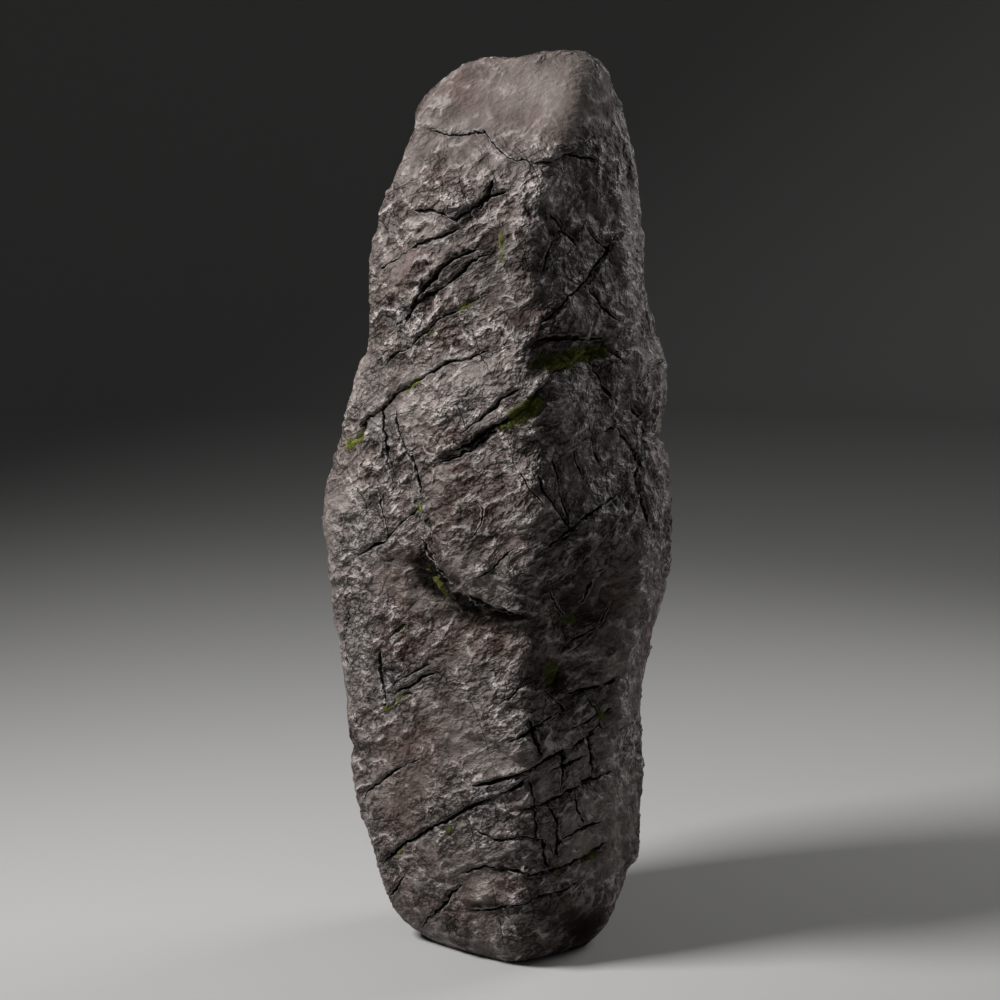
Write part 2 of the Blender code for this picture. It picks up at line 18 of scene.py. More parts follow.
import bpy
import numpy as np
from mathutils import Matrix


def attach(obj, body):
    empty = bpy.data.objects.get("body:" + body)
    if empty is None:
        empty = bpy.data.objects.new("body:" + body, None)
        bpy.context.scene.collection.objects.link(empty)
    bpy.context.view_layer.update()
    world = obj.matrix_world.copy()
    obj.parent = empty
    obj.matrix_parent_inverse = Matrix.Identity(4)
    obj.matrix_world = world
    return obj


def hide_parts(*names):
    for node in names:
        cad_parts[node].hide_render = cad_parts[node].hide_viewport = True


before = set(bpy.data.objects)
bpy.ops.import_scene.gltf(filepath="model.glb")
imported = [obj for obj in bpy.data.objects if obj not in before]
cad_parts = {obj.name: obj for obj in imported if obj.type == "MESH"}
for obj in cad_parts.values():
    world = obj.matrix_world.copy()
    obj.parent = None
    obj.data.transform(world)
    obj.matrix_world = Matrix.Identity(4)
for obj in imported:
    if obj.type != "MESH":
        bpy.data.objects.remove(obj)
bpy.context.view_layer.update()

LOG = logging.getLogger("standing_stone")

Array = np.ndarray
Colour = tuple[float, float, float, float]
Point = tuple[float, float, float]
NodeTree = bpy.types.NodeTree
Socket = bpy.types.NodeSocket


# --------------------------------------------------------------------------------------------
# Shared tools
# --------------------------------------------------------------------------------------------


def linear(hex_colour: str) -> Colour:
    """Turns an sRGB hex colour into the linear colour that a shader takes.

    Args:
        hex_colour: Six hex digits, with or without a leading #.

    Returns:
        Red, green, blue and an alpha of 1.
    """
    digits = hex_colour.lstrip("#")
    channels = [int(digits[at : at + 2], 16) / 255 for at in (0, 2, 4)]
    red, green, blue = (c / 12.92 if c <= 0.04045 else ((c + 0.055) / 1.055) ** 2.4 for c in channels)
    return red, green, blue, 1.0


def add_node(
    tree: NodeTree, kind: str, inputs: dict[int | str, object], out: int | str = 0, **settings: object
) -> Socket:
    """Adds a node with its settings, and sets or links its inputs.

    Args:
        tree: The node tree that gets the node.
        kind: The node's type, such as "ShaderNodeTexNoise".
        inputs: A socket to link, or a value to set, for each input's name or number.
        out: The name or number of the output to give back.
        settings: The node's own settings by name.

    Returns:
        One of the new node's outputs.
    """
    node = tree.nodes.new(kind)
    for name, value in settings.items():
        setattr(node, name, value)
    for key, value in inputs.items():
        if isinstance(value, bpy.types.NodeSocket):
            tree.links.new(value, node.inputs[key])
        else:
            node.inputs[key].default_value = value
    return node.outputs[out]


def new_material(name: str) -> tuple[bpy.types.Material, NodeTree, bpy.types.Node]:
    """Makes a material.

    Args:
        name: The material's name.

    Returns:
        The material, its node tree and its shader.
    """
    material = bpy.data.materials.new(name)
    material.use_nodes = True
    return material, material.node_tree, material.node_tree.nodes["Principled BSDF"]


def smooth_step(value: Array, low: float, high: float) -> Array:
    """0 below low, 1 above high, and a smooth rise between them."""
    t = np.clip((value - low) / (high - low), 0, 1)
    return t * t * (3 - 2 * t)


def mesh_object(name: str, points: Array, face_sets: list[Array]) -> bpy.types.Object:
    """Makes a smooth-shaded mesh object from points and faces.

    Args:
        name: The object's name.
        points: Its points, one row each.
        face_sets: Its faces as arrays with a row for each face, one array for each number of corners.

    Returns:
        The new object, linked to the scene.
    """
    mesh = bpy.data.meshes.new(name)
    sizes = np.concatenate([np.full(len(faces), faces.shape[1]) for faces in face_sets])
    corners = np.concatenate([faces.ravel() for faces in face_sets])
    mesh.vertices.add(len(points))
    mesh.vertices.foreach_set("co", np.asarray(points, dtype=np.float32).ravel())
    mesh.loops.add(len(corners))
    mesh.loops.foreach_set("vertex_index", corners.astype(np.int32))
    mesh.polygons.add(len(sizes))
    mesh.polygons.foreach_set("loop_start", (np.cumsum(sizes) - sizes).astype(np.int32))
    mesh.update(calc_edges=True)
    mesh.shade_smooth()
    made = bpy.data.objects.new(name, mesh)
    bpy.context.scene.collection.objects.link(made)
    return made


def read(items: bpy.types.bpy_prop_collection, name: str, width: int, kind: type = float) -> Array:
    """Reads one setting of all the items of a mesh, such as its vertices' places.

    Args:
        items: The items.
        name: The setting's name.
        width: How many numbers each item has for it.
        kind: Whether they are of type float or int.

    Returns:
        The numbers, one row for each item.
    """
    stored = np.empty(width * len(items), dtype=np.float32 if kind is float else np.int32)
    items.foreach_get(name, stored)
    return stored.reshape(-1, width).astype(kind)


def set_mark(mesh: bpy.types.Mesh, name: str, values: Array) -> None:
    """Stores one number for each point of a mesh, for its material to read."""
    layer = mesh.attributes.new(name, "FLOAT", "POINT")
    layer.data.foreach_set("value", values.astype(np.float32))


# --------------------------------------------------------------------------------------------
# Noise that rock relief is made from
# --------------------------------------------------------------------------------------------

GRADIENT_SEED = 4
LATTICE_PRIMES = np.array([73856093, 19349663, 83492791])
GRADIENTS = np.random.default_rng(GRADIENT_SEED).normal(size=(256, 3))
GRADIENTS /= np.linalg.norm(GRADIENTS, axis=1, keepdims=True)


def lattice_number(cells: Array, seed: int) -> Array:
    """Picks a number for each cell of a lattice, always the same for one seed.

    Args:
        cells: The cells, one row each, by their place in the lattice.
        seed: Which draw it is.

    Returns:
        A number from 0 to 255 for each.
    """
    mixed = (cells.astype(np.int64) * LATTICE_PRIMES[: cells.shape[-1]]).sum(axis=-1) + seed * 7919
    mixed = (mixed ^ (mixed >> 13)) * 1274126177 & 0xFFFFFFFF
    return (mixed ^ (mixed >> 16)) & 0xFF


def noise(points: Array, size: float, seed: int) -> Array:
    """Smooth gradient noise.

    Args:
        points: The points, one row each.
        size: How wide its bumps are, in metres.
        seed: Which draw it is.

    Returns:
        About -1 to 1 at each point.
    """
    scaled = points / size
    cell = np.floor(scaled)
    inside = scaled - cell
    ease = inside**3 * (inside * (inside * 6 - 15) + 10)
    total = np.zeros(len(points))
    for corner in itertools.product((0, 1), repeat=3):
        weight = np.where(corner, ease, 1 - ease).prod(axis=1)
        gradient = GRADIENTS[lattice_number(cell + corner, seed)]
        total += weight * ((inside - corner) * gradient).sum(axis=1)
    return total * 1.7


@dataclass(frozen=True)
class Layer:
    """One layer of relief. Each method gives its height, and takes how much of it there is."""

    size: float  # of its bumps, in metres
    seed: int  # which draw it is
    height: float = 1.0  # in metres, where nothing else is said

    def smooth(self, points: Array, share: Array | float = 1.0) -> Array:
        """Rounded bumps and hollows."""
        return share * self.height * noise(points, self.size, self.seed)

    def ridged(self, points: Array, share: Array | float = 1.0) -> Array:
        """Sharp crests, as high as the layer, with hollows about as deep between them."""
        return share * self.height * (1 - 2.6 * np.abs(noise(points, self.size, self.seed)))

    def faceted(self, points: Array, share: Array | float = 1.0, sharpness: float = 30.0) -> Array:
        """Tilted facets with worn edges between them.

        Args:
            points: The points, one row each.
            share: How much of the layer there is at each.
            sharpness: How sharp the worn edges still are.

        Returns:
            The height at each point.
        """
        scaled = points / self.size
        cell = np.floor(scaled)
        total, weights = np.zeros(len(points)), np.full(len(points), 1e-12)
        for offset in itertools.product((-1, 0, 1), repeat=3):
            near = cell + offset
            middle = near + 0.5 + 0.8 * GRADIENTS[lattice_number(near, self.seed)] * 0.5
            away = scaled - middle
            weight = np.exp(-sharpness * (away**2).sum(axis=1))
            tilt = GRADIENTS[lattice_number(near, self.seed + 1)]
            total += weight * (away * tilt).sum(axis=1)
            weights += weight
        return share * self.height * (total / weights)

    def strays(self, points: Array, count: int) -> Array:
        """How far the layer and the draws after it carry each point along the first few axes."""
        draws = [dataclasses.replace(self, seed=self.seed + draw) for draw in range(count)]
        return np.stack([draw.smooth(points) for draw in draws], axis=-1)


@dataclass(frozen=True)
class Patchwork:
    """Where patches of something lie: wherever smooth noise is high enough."""

    size: float  # of a patch, in metres
    seed: int
    starts: float  # the noise where a patch starts
    full: float  # the noise where it is at its most
    most: float = 1.0

    def share(self, points: Array, within: Array | float = 1.0) -> Array:
        """How much of it lies at each point, where within is how much of it there may be."""
        return self.most * within * smooth_step(noise(points, self.size, self.seed), self.starts, self.full)


def blurred(field_values: Array, spread: float) -> Array:
    """A field on the rings and spokes of the loft, blurred by a Gaussian.

    Args:
        field_values: One row for each ring, one column for each spoke.
        spread: The Gaussian's width, in rings and as much in spokes.

    Returns:
        The blurred field, of the same shape. It wraps round the stone, and mirrors at the two ends.
    """
    mirrored = np.concatenate([field_values, field_values[::-1]])
    up = np.fft.fftfreq(mirrored.shape[0])[:, None]
    around = np.fft.rfftfreq(mirrored.shape[1])[None, :]
    falloff = np.exp(-2 * math.pi**2 * ((up * spread) ** 2 + (around * spread) ** 2))
    return np.fft.irfft2(np.fft.rfft2(mirrored) * falloff, mirrored.shape)[: len(field_values)]


# --------------------------------------------------------------------------------------------
# The front drawing, which the camera shares
# --------------------------------------------------------------------------------------------


@dataclass(frozen=True)
class FrontView:
    """The eye in front of the stone, and the square drawing that it sees, y down."""

    eye: Point = (-0.010, -5.170, 1.928)
    looks_down: float = math.radians(10)
    lens: float = 85.0
    sensor: float = 36.0
    squares: float = 1000.0

    def drawn(self, points: Array) -> Array:
        """Draws points.

        Args:
            points: The points, one row each.

        Returns:
            Where the drawing shows each, in its squares.
        """
        away = points - np.array(self.eye)
        down, level = math.sin(self.looks_down), math.cos(self.looks_down)
        distance = away[:, 1] * level - away[:, 2] * down
        rise = away[:, 1] * down + away[:, 2] * level
        scale = self.squares * self.lens / self.sensor / distance
        return self.squares / 2 + np.stack([away[:, 0] * scale, -rise * scale], axis=-1)

    def facing(self, points: Array, normals: Array) -> Array:
        """How squarely the surface faces the eye.

        Args:
            points: Points of the surface.
            normals: The surface's normal at each.

        Returns:
            1 head on, 0 edge on, and below 0 where it is turned away.
        """
        to_eye = np.array(self.eye) - points
        to_eye /= np.linalg.norm(to_eye, axis=1, keepdims=True)
        return (normals * to_eye).sum(axis=1)

    def camera(self) -> None:
        """Puts the scene's camera at the eye."""
        data = bpy.data.cameras.new("front_view")
        data.lens = self.lens
        data.sensor_width = self.sensor
        camera = bpy.data.objects.new("front_view", data)
        camera.location = self.eye
        camera.rotation_euler = (math.pi / 2 - self.looks_down, 0, 0)
        bpy.context.scene.collection.objects.link(camera)
        bpy.context.scene.camera = camera


@dataclass(frozen=True)
class Swell:
    """A rounded swell of the front, or a hollow where its height is negative.

    The same shape serves for the patches of colour, smoothness and moss, whose height is how much of
    it there is.
    """

    at: tuple[float, float]  # middle, in the front drawing
    reach: tuple[float, float]  # along and across, in the front drawing
    rises: float  # degrees that its long way rises to the right
    height: float = 1.0  # metres, or how much

    def share(self, drawing: Array) -> Array:
        """How much of the swell each point has.

        Args:
            drawing: The points' places in the front drawing.

        Returns:
            0 to 1 for each.
        """
        turn = math.radians(self.rises)
        away = drawing - self.at
        lengthways = away[:, 0] * math.cos(turn) - away[:, 1] * math.sin(turn)
        crossways = away[:, 0] * math.sin(turn) + away[:, 1] * math.cos(turn)
        return np.exp(-((lengthways / self.reach[0]) ** 2) - (crossways / self.reach[1]) ** 2)


GROOVE_DEPTH = 1.2  # of a break's groove on its line, by its depth
GROOVE_SIDES = 1.4  # how steep the groove's sides are
LIP_HEIGHT = 0.22  # of the raised lips beside the groove, by its depth
LIP_OFF = 2.4  # how far the lips are from the line, by the groove's width
END_FADE = 0.12  # how far from its ends a break starts to fade out, by its length
BLUNT_END = 4.0  # how far beyond its ends it would be gone, in squares of the drawing: the ends are blunt


@dataclass(frozen=True)
class Break:
    """A crack or a ledge that crosses the front, drawn from left to right."""

    line: tuple[tuple[float, float], ...]  # in the front drawing
    depth: float  # of the crack, in metres
    width: float  # half the width of the crack, in the front drawing
    step: float = 0.0  # how far the rock above stands proud of the rock below, in metres
    reach: float = 60.0  # how far up that step fades out, in the front drawing
    moss: float = 0.0  # how much moss grows in it, 0 to 1
    crack_shade: float = 1.0  # how dark its painted shade is, 1 being usual

    def near(self, drawing: Array) -> Array:
        """Which points the break can reach.

        Args:
            drawing: The points' places in the front drawing.

        Returns:
            True for each point that it can reach.
        """
        corners = np.array(self.line)
        room = max(4 * self.width, 3 * self.reach if self.step else 0) + 6
        inside = (drawing > corners.min(axis=0) - room) & (drawing < corners.max(axis=0) + room)
        return inside.all(axis=1)

    def lie(self, drawing: Array) -> tuple[Array, Array, Array]:
        """Where points of the drawing lie by the break.

        Args:
            drawing: The points' places in the front drawing.

        Returns:
            Each point's distance from the line, that distance with a sign that is positive above
            the line, and how much of the break there is at the nearest place, 0 to 1.
        """
        line = np.array(self.line)
        best = np.full(len(drawing), np.inf)
        above = np.zeros(len(drawing))
        passed = np.zeros(len(drawing))
        run = 0.0
        for start, end in itertools.pairwise(line):
            length = math.dist(start, end)
            way = (end - start) / length
            away = drawing - start
            reached = np.clip(away @ way, 0, length)
            distance = np.hypot(*(away - reached[:, None] * way).T)
            nearer = distance < best
            side = way[1] * away[:, 0] - way[0] * away[:, 1]
            best = np.where(nearer, distance, best)
            above = np.where(nearer, np.sign(side) * distance, above)
            passed = np.where(nearer, run + reached, passed)
            run += length
        return best, above, smooth_step(np.minimum(passed, run - passed), -BLUNT_END, END_FADE * run)

    def profile(self, best: Array, above: Array, wide: Array, uneven: Array) -> Array:
        """The height across the break: a groove with a raised lip, and the step above it.

        Args:
            best: Each point's distance from the line.
            above: That distance with its sign.
            wide: Half the groove's width there.
            uneven: How deep the groove is there, 1 being usual.

        Returns:
            The height at each point, in metres.
        """
        groove = np.exp(-((best / wide) ** GROOVE_SIDES))
        lip = np.exp(-(((best - LIP_OFF * wide) / wide) ** 2))
        upper = smooth_step(above, -wide, wide) * np.exp(-np.maximum(above, 0) / self.reach)
        beside = np.exp(-((np.maximum(best - np.abs(above), 0) / wide) ** 2))
        grooved = uneven * self.depth * (LIP_HEIGHT * lip - GROOVE_DEPTH * groove)
        return grooved + self.step * upper * beside


# --------------------------------------------------------------------------------------------
# The stone's form
# --------------------------------------------------------------------------------------------

# Each arris as (z, x, y), from below the foot to the crown, in metres.
ARRISES: dict[str, list[Point]] = {
    "left": [
        (-0.03, -0.105, -0.030), (0.00, -0.168, -0.030), (0.03, -0.218, -0.025), (0.07, -0.260, -0.015),
        (0.12, -0.286, -0.005), (0.22, -0.312, 0.000), (0.36, -0.342, 0.005), (0.60, -0.366, 0.010),
        (0.74, -0.390, 0.015), (0.87, -0.402, 0.020), (0.97, -0.418, 0.020), (1.06, -0.400, 0.020),
        (1.15, -0.376, 0.020), (1.28, -0.343, 0.015), (1.37, -0.310, 0.010), (1.45, -0.298, 0.005),
        (1.55, -0.305, 0.005), (1.63, -0.282, 0.000), (1.72, -0.247, 0.000), (1.81, -0.218, 0.000),
        (1.89, -0.186, 0.000), (1.94, -0.156, 0.005), (1.98, -0.116, 0.010), (2.00, -0.084, 0.010),
    ],
    "front": [
        (-0.03, 0.015, -0.130), (0.00, 0.020, -0.174), (0.03, 0.024, -0.205), (0.10, 0.030, -0.230),
        (0.25, 0.035, -0.248), (0.45, 0.036, -0.260), (0.62, 0.038, -0.262), (0.76, 0.042, -0.262),
        (0.82, 0.045, -0.270), (0.88, 0.048, -0.296), (0.95, 0.052, -0.312), (1.04, 0.056, -0.318),
        (1.14, 0.056, -0.314), (1.25, 0.052, -0.302), (1.40, 0.045, -0.290), (1.55, 0.045, -0.272),
        (1.66, 0.050, -0.258), (1.74, 0.062, -0.242), (1.80, 0.092, -0.214), (1.85, 0.122, -0.176),
        (1.91, 0.146, -0.124), (1.96, 0.150, -0.075), (2.00, 0.140, -0.030),
    ],
    "right_front": [
        (-0.03, 0.150, -0.045), (0.00, 0.188, -0.060), (0.03, 0.212, -0.070), (0.10, 0.234, -0.080),
        (0.25, 0.240, -0.090), (0.45, 0.242, -0.098), (0.60, 0.256, -0.102), (0.80, 0.298, -0.110),
        (1.00, 0.302, -0.115), (1.15, 0.280, -0.120), (1.30, 0.290, -0.105), (1.45, 0.268, -0.098),
        (1.60, 0.258, -0.090), (1.75, 0.250, -0.085), (1.85, 0.228, -0.070), (1.93, 0.205, -0.045),
        (1.98, 0.185, -0.020), (2.00, 0.170, -0.010),
    ],
    "right": [
        (-0.03, 0.145, 0.040), (0.00, 0.196, 0.055), (0.03, 0.238, 0.068), (0.06, 0.258, 0.075),
        (0.10, 0.279, 0.080), (0.16, 0.298, 0.082), (0.25, 0.309, 0.084), (0.44, 0.315, 0.085),
        (0.58, 0.317, 0.086), (0.68, 0.334, 0.088), (0.77, 0.362, 0.090), (0.84, 0.377, 0.090),
        (0.94, 0.381, 0.090), (1.04, 0.377, 0.090), (1.09, 0.364, 0.090), (1.14, 0.351, 0.090),
        (1.21, 0.358, 0.090), (1.275, 0.369, 0.088), (1.36, 0.348, 0.085), (1.45, 0.322, 0.082),
        (1.54, 0.303, 0.080), (1.675, 0.300, 0.075), (1.76, 0.291, 0.070), (1.85, 0.264, 0.060),
        (1.89, 0.254, 0.055), (1.935, 0.236, 0.045), (1.975, 0.212, 0.035), (2.00, 0.180, 0.025),
    ],
    "back_right": [
        (-0.03, 0.090, 0.100), (0.00, 0.130, 0.138), (0.03, 0.165, 0.165), (0.10, 0.202, 0.200),
        (0.30, 0.232, 0.232), (0.60, 0.240, 0.250), (0.90, 0.272, 0.268), (1.10, 0.262, 0.285),
        (1.30, 0.252, 0.258), (1.55, 0.215, 0.222), (1.75, 0.202, 0.190), (1.90, 0.175, 0.138),
        (1.97, 0.150, 0.090), (2.00, 0.130, 0.060),
    ],
    "back": [
        (-0.03, -0.030, 0.110), (0.00, -0.030, 0.162), (0.03, -0.030, 0.200), (0.10, -0.028, 0.246),
        (0.30, -0.015, 0.290), (0.55, -0.018, 0.320), (0.80, -0.035, 0.342), (1.00, -0.022, 0.348),
        (1.20, -0.030, 0.322), (1.45, -0.005, 0.275), (1.65, 0.005, 0.245), (1.82, 0.022, 0.192),
        (1.93, 0.040, 0.132), (1.98, 0.050, 0.090), (2.00, 0.055, 0.062),
    ],
    "back_left": [
        (-0.03, -0.095, 0.060), (0.00, -0.142, 0.090), (0.03, -0.178, 0.118), (0.10, -0.222, 0.155),
        (0.30, -0.262, 0.185), (0.60, -0.300, 0.205), (0.85, -0.318, 0.232), (1.05, -0.316, 0.230),
        (1.25, -0.268, 0.212), (1.45, -0.236, 0.182), (1.65, -0.202, 0.160), (1.80, -0.165, 0.130),
        (1.90, -0.122, 0.098), (1.96, -0.072, 0.070), (2.00, -0.030, 0.045),
    ],
}

# What swells or sinks on the front, in metres.
SWELLS: dict[str, Swell] = {
    "shoulder": Swell((432, 184), (48, 28), 24, 0.022),
    "below_the_shoulder": Swell((468, 226), (46, 14), 35, -0.012),
    "left_rib": Swell((416, 264), (44, 15), 38, 0.014),
    "brow": Swell((568, 305), (28, 24), 10, 0.020),
    "mossy_niche": Swell((572, 350), (38, 14), 14, -0.030),
    "lens": Swell((462, 390), (60, 22), 26, 0.026),
    "right_panel": Swell((568, 408), (24, 36), 0, 0.022),
    "temple": Swell((546, 192), (20, 28), 0, 0.010),
    "right_recess": Swell((642, 436), (34, 8), 82, -0.018),
    "chin": Swell((498, 545), (56, 44), -20, 0.018),
    "under_the_chin_right": Swell((588, 606), (42, 20), 42, -0.030),
    "under_the_chin": Swell((505, 624), (48, 17), -8, -0.012),
    "under_the_chin_left": Swell((440, 588), (32, 16), -42, -0.010),
    "pit": Swell((552, 676), (16, 15), 0, -0.026),
    "belly": Swell((450, 700), (64, 42), 20, 0.012),
    "under_the_lens": Swell((452, 458), (40, 10), 24, -0.014),
    "left_flank": Swell((378, 500), (26, 50), 0, 0.010),
    "low_block": Swell((470, 850), (60, 22), 20, 0.010),
    "low_right_block": Swell((575, 820), (28, 26), 0, 0.008),
    "left_foot": Swell((430, 870), (30, 24), 20, 0.006),
}

